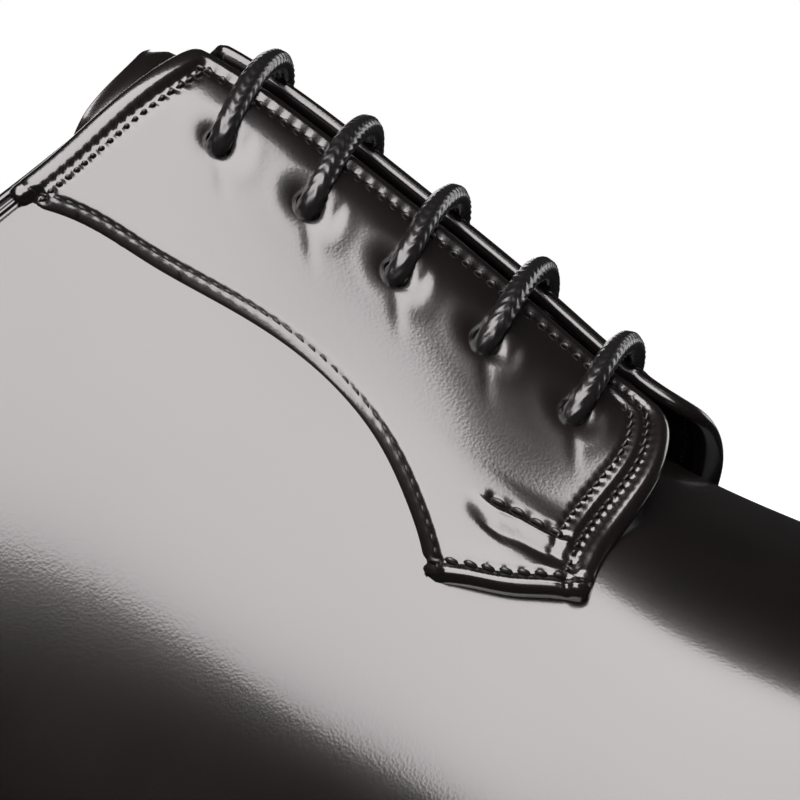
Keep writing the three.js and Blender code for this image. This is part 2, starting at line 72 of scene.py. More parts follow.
# Upper: vamp and quarters of black polished calf in one skin, pulled over the last and tacked
# under at the feather edge. The last is given by ribs from the feather edge up to the ridge of
# the instep, all in millimetres, with +X to the toe and +Y to the inner side.
LAST_LENGTH = 286.0
BALL_WIDTH = 96.0
INSTEP_RISE = 99.0
HEEL_HEIGHT = 18.5
HEEL_LENGTH = 70.0
TREAD_LENGTH = 30.0
TOE_SPRING = 12.0
BALL_PLACE = 0.636
OUTSOLE_THICKNESS = 5.0
WELT_THICKNESS = 2.9
WELT_REACH = 5.2
SEAM_GAP = 0.3
WALL = 2.2
RIBS = {
    "along": (0, 0.021, 0.087, 0.182, 0.283, 0.385, 0.486, 0.58, 0.671, 0.762, 0.86, 0.956, 1),
    "outer": (0, 0.198, 0.318, 0.339, 0.333, 0.354, 0.411, 0.474, 0.498, 0.464, 0.39, 0.225,
              -0.052),
    "inner": (0, 0.198, 0.318, 0.328, 0.297, 0.276, 0.297, 0.375, 0.469, 0.505, 0.465, 0.32,
              0.052),
    "reach": (0.4, 0.4, 0.42, 0.45, 0.5, 0.58, 0.76, 0.94, 1, 1, 1, 1.03, 1.06),
    "crest": (0.101, 0.115, 0.157, 0.224, 0.308, 0.395, 0.486, 0.57, 0.654, 0.731, 0.801, 0.857,
              0.881),
    "shift": (0, 0, 0, 0, 0.005, 0.01, 0.016, 0.021, 0.031, 0.042, 0.047, 0.052, 0.052),
    "crown": (0.271, 0.281, 0.271, 0.229, 0.208, 0.208, 0.234, 0.276, 0.302, 0.307, 0.276, 0.229,
              0.2125),
    "swell": (0.094, 0.083, 0.068, 0.052, 0.047, 0.052, 0.057, 0.052, 0.042, 0.036, 0.036, 0.036,
              0.036),
    "wall": (0.52, 0.52, 0.5, 0.5, 0.5, 0.5, 0.5, 0.52, 0.54, 0.56, 0.6, 0.62, 0.62),
}
RIDGE = {
    "along": (0.101, 0.157, 0.227, 0.315, 0.367, 0.406, 0.455, 0.507, 0.552, 0.594, 0.647, 0.699,
              0.752, 0.815, 0.874, 0.913),
    "rise": (0.949, 0.99, 1, 0.984, 0.961, 0.915, 0.834, 0.733, 0.63, 0.558, 0.492, 0.436,
             0.395, 0.352, 0.306, 0.267),
}
TOPLINE = {
    "along": (-0.05, 0, 0.035, 0.087, 0.15, 0.2, 0.245, 0.28, 0.3105, 0.3304, 0.3587, 0.3713,
              0.3801, 0.3895, 0.4, 0.43),
    "rise": (0.66, 0.621, 0.591, 0.551, 0.535, 0.561, 0.626, 0.698, 0.777, 0.837, 0.93, 0.966,
             0.985, 0.992, 0.992, 1.06),
}
LAST_ROW = len(RIBS["along"]) - 1
ROWS_AROUND = 2 * LAST_ROW


def through_values(places, values):
    """Smooth curve through the values, with no sudden change of bend."""
    places = np.asarray(places, float)
    values = np.asarray(values, float)
    step = np.diff(places)
    system = np.eye(len(places))
    pull = np.zeros(len(places))
    for i in range(1, len(places) - 1):
        system[i, i - 1:i + 2] = step[i - 1], 2 * (step[i - 1] + step[i]), step[i]
        rise = np.diff(values[i - 1:i + 2]) / step[i - 1:i + 1]
        pull[i] = 6 * (rise[1] - rise[0])
    bend = np.linalg.solve(system, pull)

    def curve(place):
        place = np.asarray(place, float)
        k = np.clip(np.searchsorted(places, place) - 1, 0, len(places) - 2)
        a = (places[k + 1] - place) / step[k]
        b = 1 - a
        bow = (a**3 - a) * bend[k] + (b**3 - b) * bend[k + 1]
        return a * values[k] + b * values[k + 1] + bow * step[k] ** 2 / 6

    return curve


def around_last(outer_side, inner_side):
    """A column of the ribs as a closed loop: heel to toe outside, and back on the inner side."""
    loop = list(outer_side) + list(inner_side)[1:-1][::-1]
    overlap = 4
    places = range(-overlap, len(loop) + overlap + 1)
    return through_values(list(places), [loop[i % len(loop)] for i in places])


def column(name, size):
    values = np.array(RIBS[name]) * size
    return around_last(values, values)


foot_x = column("along", LAST_LENGTH)
foot_y = around_last(-np.array(RIBS["outer"]) * BALL_WIDTH, np.array(RIBS["inner"]) * BALL_WIDTH)
crest_x = column("crest", LAST_LENGTH)
crest_y = column("shift", BALL_WIDTH)
crown_size = column("crown", BALL_WIDTH)
swell_size = column("swell", BALL_WIDTH)
wall_share = column("wall", 1)
welt_reach = column("reach", WELT_REACH)
ridge_rise = through_values(
    np.array(RIDGE["along"]) * LAST_LENGTH, np.array(RIDGE["rise"]) * INSTEP_RISE
)


def tread_z(x):
    """Underside of the outsole: level heel seat, shank, level tread and toe spring."""
    start = BALL_PLACE * LAST_LENGTH - TREAD_LENGTH / 2
    end = start + TREAD_LENGTH
    shank = np.clip((x - HEEL_LENGTH) / (start - HEEL_LENGTH), 0, 1)
    spring = np.clip((x - end) / (LAST_LENGTH + WELT_REACH - end), 0, None)
    return HEEL_HEIGHT * (1 + np.cos(math.pi * shank)) / 2 + TOE_SPRING * spring**2


def feather_z(x):
    return tread_z(x) + OUTSOLE_THICKNESS + WELT_THICKNESS + 2 * SEAM_GAP


def ridge_z(x):
    return feather_z(x) + ridge_rise(x)


topline_x = np.array(TOPLINE["along"]) * LAST_LENGTH
topline_rise = np.array(TOPLINE["rise"]) * INSTEP_RISE
topline_z = through_values(topline_x, feather_z(topline_x) + topline_rise)


def footprint(turn, reach):
    """Feather edge, moved outward by a reach."""
    turn = np.asarray(turn, float) % ROWS_AROUND
    nudge = 0.01
    along = foot_x(turn + nudge) - foot_x(turn - nudge)
    across = foot_y(turn + nudge) - foot_y(turn - nudge)
    size = np.hypot(along, across)
    return foot_x(turn) + reach * across / size, foot_y(turn) - reach * along / size


def rib(turn):
    """Four control points of the rib at a turn, from the feather edge up to the ridge."""
    turn = np.asarray(turn, float) % ROWS_AROUND
    row = np.minimum(turn, ROWS_AROUND - turn)
    foot = footprint(turn, 0)
    swollen = footprint(turn, swell_size(turn))
    foot_height = feather_z(foot[0])
    top = crest_x(row), crest_y(row), ridge_z(crest_x(row))
    nudge = 0.1
    pitch = (ridge_z(top[0] + nudge) - ridge_z(top[0] - nudge)) / (2 * nudge)
    crown = crown_size(turn) / np.hypot(foot[0] - top[0], foot[1] - top[1])
    crown_x = crown * (foot[0] - top[0])
    crown_y = crown * (foot[1] - top[1])
    return np.stack([
        np.stack([foot[0], foot[1], foot_height], -1),
        np.stack([*swollen, foot_height + wall_share(turn) * (top[2] - foot_height)], -1),
        np.stack([top[0] + crown_x, top[1] + crown_y, top[2] + pitch * crown_x], -1),
        np.stack(top, -1),
    ], -2)


def up_the_rib(corners, share):
    s = np.asarray(share)[..., None]
    r = 1 - s
    return (r**3 * corners[..., 0, :] + 3 * r * r * s * corners[..., 1, :]
            + 3 * r * s * s * corners[..., 2, :] + s**3 * corners[..., 3, :])


def unit(ways):
    """The same directions, each one long."""
    return ways / np.linalg.norm(ways, axis=-1, keepdims=True)


def last_point(turn, share, height=0.0):
    """Point over the last: turn is the place around it, share the place up the rib."""
    turn, share, height = np.broadcast_arrays(np.asarray(turn, float), share, height)
    share = np.clip(share, 0, 1)
    corners = rib(turn)
    point = up_the_rib(corners, share)
    nudge = 0.01
    level = np.minimum(share, 1 - 0.0002)
    round_it = up_the_rib(rib(turn + nudge), level) - up_the_rib(rib(turn - nudge), level)
    lower = np.maximum(level - 0.0001, 0)
    upward = up_the_rib(corners, level + 0.0001) - up_the_rib(corners, lower)
    out = unit(np.cross(round_it, upward))
    placed = point + out * height[..., None]
    placed[..., 2] = np.where(share <= 0, feather_z(placed[..., 0]), placed[..., 2])
    return placed


def girth_down(turn, steps=160):
    """Tape measure down each rib from the ridge: shares, and the girth at each of them."""
    share = np.linspace(1, 0, steps + 1)
    every = np.broadcast_to(share, (len(turn), steps + 1))
    line = up_the_rib(rib(np.asarray(turn))[:, None], every)
    size = np.linalg.norm(np.diff(line, axis=1), axis=-1)
    return share, np.concatenate([np.zeros((len(turn), 1)), np.cumsum(size, axis=1)], axis=1)


def girth_at(found, shares, girths):
    """Girth from the ridge down to a share on each rib."""
    return np.array([np.interp(-s, -shares, g) for s, g in zip(found, girths)])


def share_at(wanted, shares, girths):
    """Share of each rib that lies at a girth down from the ridge."""
    return np.array([np.interp(w, g, shares) for w, g in zip(wanted, girths)])


def travelled(line, power=1.0):
    """Way gone along a line up to each of its points."""
    steps = np.linalg.norm(np.diff(line, axis=0), axis=1) ** power
    return np.concatenate([[0], np.cumsum(steps)])


ridge_rows = np.linspace(0, LAST_ROW, 2401)
ridge_places = crest_x(ridge_rows)


def on_pattern(along, across, height=0.0):
    """Place on the last's skin: along the ridge, and across from it, inner side positive."""
    along, across, height = [
        np.ravel(v) for v in np.broadcast_arrays(np.asarray(along, float), across, height)
    ]
    row = np.interp(along, ridge_places, ridge_rows)
    turn = np.where(across < 0, row, ROWS_AROUND - row)
    share = np.empty(len(turn))
    for start in range(0, len(turn), 4000):
        some = slice(start, start + 4000)
        shares, girth = girth_down(turn[some])
        down = np.abs(across[some])
        k = np.clip((girth < down[:, None]).sum(1) - 1, 0, girth.shape[1] - 2)
        pick = np.arange(len(k))
        part = (down - girth[pick, k]) / (girth[pick, k + 1] - girth[pick, k])
        share[some] = shares[k] + part * (shares[k + 1] - shares[k])
    return last_point(turn, share, height)


# The row frame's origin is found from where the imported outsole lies
sole_turns = np.arange(72) * ROWS_AROUND / 72
sole_x, sole_y = footprint(sole_turns, welt_reach(sole_turns))
outsole_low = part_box("outsole")[0]
SHIFT = np.array([outsole_low.x * 1000 - sole_x.min(), outsole_low.y * 1000 - sole_y.min(), 0.0])


def piece(name, points, faces, materials, covers=()):
    """Mesh in the row frame from points in millimetres, dressed and set on the shoe."""
    mesh = bpy.data.meshes.new(name)
    mesh.from_pydata(((np.asarray(points) + SHIFT) * 0.001).tolist(), [], faces)
    mesh.validate()
    mesh.update()
    mesh.shade_smooth()
    for material in materials:
        mesh.materials.append(material)
    made = bpy.data.objects.new(name, mesh)
    bpy.context.scene.collection.objects.link(made)
    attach(made, "root")
    if covers:
        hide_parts(*covers)
    return made


def grid_faces(rows, columns, closed=False, first=0):
    """Quads of a grid of points stored row by row."""
    faces = []
    for i in range(rows - 1):
        for j in range(columns if closed else columns - 1):
            a = first + i * columns + j
            b = first + i * columns + (j + 1) % columns
            faces.append((a, b, b + columns, a + columns))
    return faces


def step(x, low, high):
    """Smooth rise from 0 at low to 1 at high."""
    s = np.clip((x - low) / (high - low), 0, 1)
    return s * s * (3 - 2 * s)


def bell(x, width):
    return np.exp(-((x / width) ** 2))


def new_material(name, colour, roughness):
    """Material with its shader, in one colour and roughness."""
    made = bpy.data.materials.new(name)
    made.use_nodes = True
    shader = made.node_tree.nodes["Principled BSDF"]
    shader.inputs["Base Color"].default_value = (*colour, 1)
    shader.inputs["Roughness"].default_value = roughness
    return made, shader


def toned(made, shader, texture, colour, places, shades):
    """Lets a texture shade the colour between a darker and a lighter tone."""
    tone = made.node_tree.nodes.new("ShaderNodeValToRGB")
    for element, place, shade in zip(tone.color_ramp.elements, places, shades):
        element.position = place
        element.color = (*[c * shade for c in colour], 1)
    made.node_tree.links.new(texture.outputs["Fac"], tone.inputs["Fac"])
    made.node_tree.links.new(tone.outputs["Color"], shader.inputs["Base Color"])


def noise(made, place, scale, detail):
    """Noise texture at places on the object."""
    texture = made.node_tree.nodes.new("ShaderNodeTexNoise")
    texture.inputs["Scale"].default_value = scale
    texture.inputs["Detail"].default_value = detail
    made.node_tree.links.new(place, texture.inputs["Vector"])
    return texture


def bumped(made, shader, height, strength, depth):
    """Gives the shader a fine relief and returns its normal."""
    relief = made.node_tree.nodes.new("ShaderNodeBump")
    relief.inputs["Strength"].default_value = strength
    relief.inputs["Distance"].default_value = depth
    made.node_tree.links.new(height, relief.inputs["Height"])
    made.node_tree.links.new(relief.outputs["Normal"], shader.inputs["Normal"])
    return relief.outputs["Normal"]


def polished_leather(name, colour, gloss, coat, grain):
    """Dyed calf under wax: fine pebble grain, slight clouding, and a clear coat on top."""
    made, shader = new_material(name, colour, gloss)
    nodes = made.node_tree.nodes
    links = made.node_tree.links
    shader.inputs["Specular IOR Level"].default_value = 0.5
    shader.inputs["Coat Weight"].default_value = coat
    shader.inputs["Coat Roughness"].default_value = 0.1
    shader.inputs["Coat IOR"].default_value = 1.5
    place = nodes.new("ShaderNodeTexCoord").outputs["Object"]
    pebbles = nodes.new("ShaderNodeTexVoronoi")
    pebbles.inputs["Scale"].default_value = 2600.0
    links.new(place, pebbles.inputs["Vector"])
    creasing = noise(made, place, 2400.0, 4.0)
    clouding = noise(made, place, 45.0, 3.0)
    grain_mix = nodes.new("ShaderNodeMath")
    grain_mix.operation = "ADD"
    links.new(pebbles.outputs["Distance"], grain_mix.inputs[0])
    links.new(creasing.outputs["Fac"], grain_mix.inputs[1])
    normal = bumped(made, shader, grain_mix.outputs["Value"], grain, 0.00004)
    links.new(normal, shader.inputs["Coat Normal"])
    toned(made, shader, clouding, colour, (0.35, 0.7), (0.7, 1.4))
    return made


black_calf = polished_leather("black_calf", (0.0035, 0.0026, 0.0026), 0.23, 0.6, 0.1)
lining_calf = polished_leather("lining_calf", (0.34, 0.2, 0.115), 0.55, 0.0, 0.8)

SKIN_COLUMNS = 560
SKIN_ROWS = 92
EDGE_ROWS = 30
EDGE_STEP = 0.27
WAIST_SHARE = 0.45
SLOT_HALF = 19.5
THROAT_PLACE = 161.5
LOWEST_COLLAR = 0.3
COLLAR_END = 113.0
COLLAR_FADE = 6.0
FOLD_END = 106.0

# Columns lie evenly over the skin, with one on each side where the vamp ends at the throat
dense = np.linspace(0, ROWS_AROUND, 4801)
travel = travelled(last_point(dense, WAIST_SHARE))
skin_turns = np.interp(np.arange(SKIN_COLUMNS) * travel[-1] / SKIN_COLUMNS, travel, dense)
throat_row = float(np.interp(THROAT_PLACE, ridge_places, ridge_rows))
for turn in (throat_row, ROWS_AROUND - throat_row):
    skin_turns[np.argmin(np.abs(skin_turns - turn))] = turn


def collar_share(turns, height):
    """Share of each rib at which the topline crosses it, or the ridge where it doesn't."""
    shares = np.linspace(LOWEST_COLLAR, 1, 300)
    line = last_point(turns[:, None], shares[None, :], height)
    over = line[..., 2] - topline_z(line[..., 0])
    over[line[..., 0] > topline_x[-1]] = -1
    crossed = over > 0
    k = np.where(crossed.any(1), crossed.argmax(1), 0)
    pick = np.arange(len(turns))
    before = np.maximum(k - 1, 0)
    low, high = over[pick, before], over[pick, k]
    part = np.clip(-low / np.where(high - low == 0, 1, high - low), 0, 1)
    found = shares[before] + part * (shares[k] - shares[before])
    return np.where(k > 0, found, 1.0)


collar = collar_share(skin_turns, WALL / 2)
table_shares, table_girth = girth_down(skin_turns)
ridge_along = crest_x(np.minimum(skin_turns, ROWS_AROUND - skin_turns))
top_girth = girth_at(collar, table_shares, table_girth)
whole_girth = table_girth[:, -1]

edge_down = np.arange(EDGE_ROWS) * EDGE_STEP
lower_share = (np.arange(SKIN_ROWS) + 1) / SKIN_ROWS
below_edge = np.concatenate([
    np.broadcast_to(edge_down, (SKIN_COLUMNS, EDGE_ROWS)),
    edge_down[-1] + lower_share * (whole_girth - top_girth - edge_down[-1])[:, None],
], axis=1)
skin_girth = top_girth[:, None] + below_edge
skin_share = share_at(skin_girth, table_shares, table_girth)

COLLAR_STITCH = 4.0
BEAD = 1.1

# Forms beside an edge: how far in from it they lie, their height and half their width
RELIEF = {
    "bead": (1.4, 0.28, 0.7),
    "pinch": (2.45, -0.5, 0.42),
    "puff beside stitches": (-0.7, 0.16, 0.45),
    "groove of stitches": (0, -0.3, 0.5),
}


def form(name, distance):
    """Soft ridge or groove at its own distance from an edge."""
    place, height, width = RELIEF[name]
    return height * bell(distance - place, width)


def edge_profile(down, stitch):
    """Turned edge beside a row of stitches: a full bead, a pinched line and a shallow puff."""
    beside = form("puff beside stitches", down - stitch) + form("groove of stitches", down - stitch)
    return form("bead", down) + form("pinch", down) + beside


at_collar = step(COLLAR_END - ridge_along, 0, COLLAR_FADE)
skin_height = WALL + at_collar[:, None] * edge_profile(below_edge, COLLAR_STITCH)
edge_drop = np.clip(BEAD - below_edge, 0, BEAD)
skin_height = skin_height - at_collar[:, None] * (BEAD - np.sqrt(BEAD**2 - edge_drop**2))
skin_points = last_point(skin_turns[:, None], skin_share, skin_height)

row_count = skin_share.shape[1]
points = list(skin_points.reshape(-1, 3))
kept = []
slot = (ridge_along[:, None] < THROAT_PLACE - 0.01) & (skin_girth < SLOT_HALF)
for j in range(SKIN_COLUMNS):
    ahead = (j + 1) % SKIN_COLUMNS
    hidden = slot[j] | slot[ahead]
    for i in range(row_count - 1):
        if hidden[i] and hidden[i + 1]:
            continue
        a, b = j * row_count + i, ahead * row_count + i
        kept.append((a, a + 1, b + 1, b))

# Over the collar's edge the skin is folded round to the lining
FOLD_STEPS = 7
fold_angle = np.linspace(0, math.pi / 2, FOLD_STEPS + 1)[1:]
has_collar = (collar < 0.999) & (ridge_along < FOLD_END)
folded = []
for angle in fold_angle:
    down = top_girth + BEAD * (1 - math.cos(angle))
    share = share_at(down, table_shares, table_girth)
    folded.append(last_point(skin_turns, share, WALL - BEAD - BEAD * math.sin(angle)))
for j in range(SKIN_COLUMNS):
    ahead = (j + 1) % SKIN_COLUMNS
    if not (has_collar[j] and has_collar[ahead]):
        continue
    ring = [j * row_count, ahead * row_count]
    for k in range(FOLD_STEPS):
        start = len(points)
        points.extend([folded[k][j], folded[k][ahead]])
        kept.append((ring[0], ring[1], start + 1, start))
        ring = [start, start + 1]

upper = piece("upper_skin", points, kept, [black_calf], covers=["upper"])
weld = upper.modifiers.new("weld", "WELD")
weld.merge_threshold = 0.00002

# Lining: plain tan calf, stuck inside vamp and quarters from the insole up to the turned edge
# of the collar. Under the lacing it ends beside the tongue.
LINING_COLUMNS = 240
LINING_ROWS = 40
LINING_LAP = 3.0
LINING_BACK = 100.0
lining_pick = np.arange(LINING_COLUMNS) * SKIN_COLUMNS // LINING_COLUMNS
lining_share = np.linspace(0, 1, LINING_ROWS + 1)[None, :] * collar[lining_pick, None]
lining_points = last_point(skin_turns[lining_pick][:, None], lining_share, 0.05)
lining_down = (1 - lining_share / collar[lining_pick, None]) * whole_girth[lining_pick, None]
lining_ridge = ridge_along[lining_pick]
lining_open = (lining_ridge > LINING_BACK) & (lining_ridge < THROAT_PLACE)
faces = []
for j in range(LINING_COLUMNS):
    ahead = (j + 1) % LINING_COLUMNS
    for i in range(LINING_ROWS):
        if lining_open[j] and lining_down[j, i + 1] < SLOT_HALF - LINING_LAP:
            continue
        a, b = j * (LINING_ROWS + 1) + i, ahead * (LINING_ROWS + 1) + i
        faces.append((a, a + 1, b + 1, b))
piece("lining", lining_points.reshape(-1, 3), faces, [lining_calf])

# Facings: one piece of the same calf on each side, its free edges turned and sewn, its seam and
# tab sewn flat on the quarter. The throat edge bridges over the tongue and carries five holes.
FACING_SKIN = 1.3
THROAT_GAP = 11.0
LIFT_TOP = 1.8
LIFT_FRONT = 5.4
LIFT_REACH = 24.0
LIFT_START = 0.378 * LAST_LENGTH
LIFT_END = 0.5785 * LAST_LENGTH
EYELETS = 5
EYELET_DOWN = THROAT_GAP / 2 + 10.4
FIRST_EYELET = 0.3958 * LAST_LENGTH
EYELET_PITCH = 10.2
FACING_FRONT = np.array([
    (0.569, 0.074), (0.5765, 0.118), (0.5785, 0.172), (0.576, 0.219),
    (0.5715, 0.267), (0.5665, 0.324), (0.563, 0.398),
]) * (LAST_LENGTH, BALL_WIDTH)
TAB_BOTTOM = np.array([
    (0.556, 0.405), (0.534, 0.445), (0.5185, 0.47),
]) * (LAST_LENGTH, BALL_WIDTH)
FACING_SEAM = np.array([
    (0.501, 0.502), (0.4985, 0.47), (0.49, 0.422), (0.475, 0.371), (0.456, 0.345),
    (0.426, 0.342), (0.383, 0.356), (0.339, 0.345), (0.3245, 0.335),
]) * (LAST_LENGTH, BALL_WIDTH)
UPPER_TAB_ROW = np.array([
    (0.5218, 0.345), (0.5313, 0.337), (0.5397, 0.333), (0.5497, 0.325),
]) * (LAST_LENGTH, BALL_WIDTH)
FACING_CORNER = 0.555 * LAST_LENGTH
FACING_BACK = 92.8
FACING_TOP = 110.6
FACING_EDGE_HEIGHT = 4.0
THROAT_LIFT = 1.0
CORNER_ROUND = 1.2
CELL = 0.3
EDGE_ROUND = 0.85
STITCH_IN = 3.1
SEAM_STITCH = 1.9


def facing_height(along, down):
    """Height of the plain facing over the last, bridging up towards the throat."""
    forward = np.clip((along - LIFT_START) / (LIFT_END - LIFT_START), 0, 1)
    lift = LIFT_TOP + (LIFT_FRONT - LIFT_TOP) * forward
    settle = step(down, THROAT_GAP / 2, THROAT_GAP / 2 + LIFT_REACH)
    return WALL + FACING_SKIN + (lift + THROAT_LIFT) * (1 - settle)


def evenly(line, spacing):
    """The same line with its points at an even spacing."""
    travel = travelled(line)
    count = max(2, int(round(travel[-1] / spacing)) + 1)
    wanted = np.linspace(0, travel[-1], count)
    return np.stack([np.interp(wanted, travel, line[:, k]) for k in range(line.shape[1])], axis=1)


def curve_through(knots, travel, count):
    """Points of a smooth curve that passes the knots after given travels."""
    fine = np.linspace(0, travel[-1], count)
    curve = [through_values(travel, knots[:, k])(fine) for k in range(knots.shape[1])]
    return np.stack(curve, axis=1)


def smooth_line(knots, spacing):
    """Smooth curve through knots, with its points at an even spacing."""
    return evenly(curve_through(knots, travelled(knots), 40 * len(knots)), spacing)


collar_along = np.linspace(FACING_BACK, FACING_TOP, 40)
collar_turns = np.interp(collar_along, ridge_places, ridge_rows)
collar_shares = collar_share(collar_turns, FACING_EDGE_HEIGHT)
collar_down = girth_at(collar_shares, *girth_down(collar_turns))
collar_line = np.stack([collar_along, np.maximum(collar_down, THROAT_GAP / 2)], axis=1)
corner = np.array([FACING_CORNER, THROAT_GAP / 2])
sides = {
    "collar": evenly(collar_line, CELL),
    "throat": evenly(np.array([collar_line[-1], corner]), CELL),
    "front": smooth_line(np.vstack([corner, FACING_FRONT]), CELL),
    "tab": smooth_line(np.vstack([FACING_FRONT[-1], TAB_BOTTOM, FACING_SEAM[0]]), CELL),
    "seam": smooth_line(np.vstack([FACING_SEAM, collar_line[0]]), CELL),
}
outline = np.vstack([line[:-1] for line in sides.values()])
outline_side = np.concatenate([[name] * (len(line) - 1) for name, line in sides.items()])


def round_corners(line, radius):
    """Rounds a closed line's corners with a soft average along it."""
    reach = int(3 * radius / CELL)
    offsets = np.arange(-reach, reach + 1)
    weights = np.exp(-((offsets * CELL / radius) ** 2))
    weights /= weights.sum()
    return sum(w * np.roll(line, -k, axis=0) for w, k in zip(weights, offsets))


def inward(line):
    """Unit directions into a closed line that runs clockwise in the pattern."""
    ahead = np.roll(line, -1, axis=0) - np.roll(line, 1, axis=0)
    ahead = unit(ahead)
    return np.stack([-ahead[:, 1], ahead[:, 0]], axis=1)


def nearest(places, line):
    """Index of the nearest point of a line, and the distance to it."""
    index = np.empty(len(places), int)
    away = np.empty(len(places))
    for start in range(0, len(places), 3000):
        some = places[start:start + 3000]
        gap = ((some[:, None, :] - line[None, :, :]) ** 2).sum(-1)
        index[start:start + 3000] = gap.argmin(1)
        away[start:start + 3000] = np.sqrt(gap.min(1))
    return index, away


def inside(places, line):
    """Which places lie inside a closed line."""
    within = np.zeros(len(places), bool)
    x, y = places[:, 0], places[:, 1]
    for (ax, ay), (bx, by) in zip(line, np.roll(line, -1, axis=0)):
        if ay == by:
            continue
        crosses = (ay > y) != (by > y)
        within ^= crosses & (x < ax + (y - ay) * (bx - ax) / (by - ay))
    return within


outline = round_corners(outline, CORNER_ROUND)
into = inward(outline)
if not inside((outline[:1] + into[:1] * 2), outline)[0]:
    into = -into


def finer(values, times=8):
    """A closed line's values with more points between them."""
    count = len(values)
    wanted = np.arange(count * times) / times
    closed = np.vstack([values, values[:1]])
    numbers = np.arange(count + 1)
    return np.stack([np.interp(wanted, numbers, closed[:, k]) for k in range(2)], axis=1)


into_fine = finer(into)
into_fine = unit(into_fine)
inner_line = finer(outline) + into_fine * EDGE_ROUND
eyelet_along = FIRST_EYELET + EYELET_PITCH * np.arange(EYELETS)
edge_of_side = {name: outline[outline_side == name] for name in sides}
free_line = outline[np.isin(outline_side, ["collar", "throat", "front"])]

# Rows of stitches on a facing: how far in they lie, their pitches, and the leather around them
STITCH_PITCH = 1.4
TAB_PITCH = 2.2
FRONT_ROW = STITCH_IN + 2.1
TAB_STITCH = 2.1
upper_row = smooth_line(UPPER_TAB_ROW, CELL)
RELIEF.update({
    "free puff": (STITCH_IN, 0.2, 0.42),
    "bead puff": (2.3, 0.07, 0.5),
    "front groove": (FRONT_ROW, -0.26, 0.45),
    "front puff": (FRONT_ROW, 0.16, 0.5),
    "front ridge": (FRONT_ROW - 1, 0.14, 0.4),
    "seam groove": (SEAM_STITCH, -0.16, 0.35),
    "tab bead": (0.9, 0.32, 0.5),
    "tab groove": (TAB_STITCH, -0.42, 0.45),
    "tab puff": (TAB_STITCH, 0.2, 0.5),
    "row groove": (0, -0.45, 0.5),
    "row puff": (0, 0.2, 0.5),
    "row ridge": (1.35, 0.4, 0.55),
    "row dip": (3.3, -0.42, 1.2),
    "eyelet dish": (0, -0.12, 3.4),
    "eyelet hole": (0, -0.65, 1.5),
    "eyelet rim": (3.7, 0.05, 1.2),
    "seam crease": (0, -0.07, 0.8),
    "throat crease": (2.6, -0.1, 0.6),
})
SEAM_SKIVE = 1.15
TAB_SWELL = 0.5
FADES = {
    "clear of tab": (3.0, 6.5),
    "skive": (0.1, 2.9),
    "skive from edge": (0.5, 3),
    "tab swell": (0, 5),
    "swell from seam": (1, 6),
    "row start": (146.0, 149.5),
    "row end": (157.5, 160.5),
}
ROW_RIDGE_REACH = 2.4
ROW_DIP_REACH = 6
CREASE_LEAN = 0.35


def puffs(index, pitch):
    """Leather swelling between the stitches of a row, told by the place along it."""
    return 0.5 - 0.5 * np.cos(2 * math.pi * index * CELL / pitch)


def facing_relief(places):
    """Height of the facing's dressed surface over the last at places of the pattern."""
    along, down = places.T
    free_index, free = nearest(places, free_line)
    seam_index, seam = nearest(places, edge_of_side["seam"])
    tab_index, tab = nearest(places, edge_of_side["tab"])
    front_index, front = nearest(places, edge_of_side["front"])
    row_index, row = nearest(places, upper_row)
    below_row = down - upper_row[row_index, 1]
    clear = step(tab, *FADES["clear of tab"])
    at_row = step(along, *FADES["row start"]) * (1 - step(along, *FADES["row end"]))
    skive = (1 - step(seam, *FADES["skive"])) * step(free, *FADES["skive from edge"])
    swell = (1 - step(tab, *FADES["tab swell"])) * step(seam, *FADES["swell from seam"])
    height = facing_height(along, down) + edge_profile(free, STITCH_IN)
    height += puffs(free_index, STITCH_PITCH) * (form("free puff", free) + form("bead puff", free))
    height += clear * (form("front groove", front) + form("front ridge", front))
    height += clear * puffs(front_index, STITCH_PITCH) * form("front puff", front)
    height += (1 - puffs(seam_index, STITCH_PITCH) / 2) * form("seam groove", seam)
    height += TAB_SWELL * swell - SEAM_SKIVE * skive
    height += form("tab bead", tab) + form("tab groove", tab)
    height += puffs(tab_index, TAB_PITCH) * form("tab puff", tab)
    height += at_row * form("row groove", row)
    height += at_row * puffs(row_index, TAB_PITCH) * form("row puff", row)
    height += at_row * form("row ridge", below_row) * bell(row, ROW_RIDGE_REACH)
    height += at_row * form("row dip", below_row) * (row < ROW_DIP_REACH)
    for k, place in enumerate(eyelet_along):
        past, under = along - place, down - EYELET_DOWN
        away = np.hypot(past, under)
        height += form("eyelet dish", away) + form("eyelet hole", away) + form("eyelet rim", away)
        # Short creases run from each hole towards the seam and beside it
        height += form("seam crease", past - CREASE_LEAN * under) * bell(under - 3.6, 2.2)
        height += form("throat crease", past - 0.2 * (k % 2)) * bell(under + 1.2, 1.7)
    return height


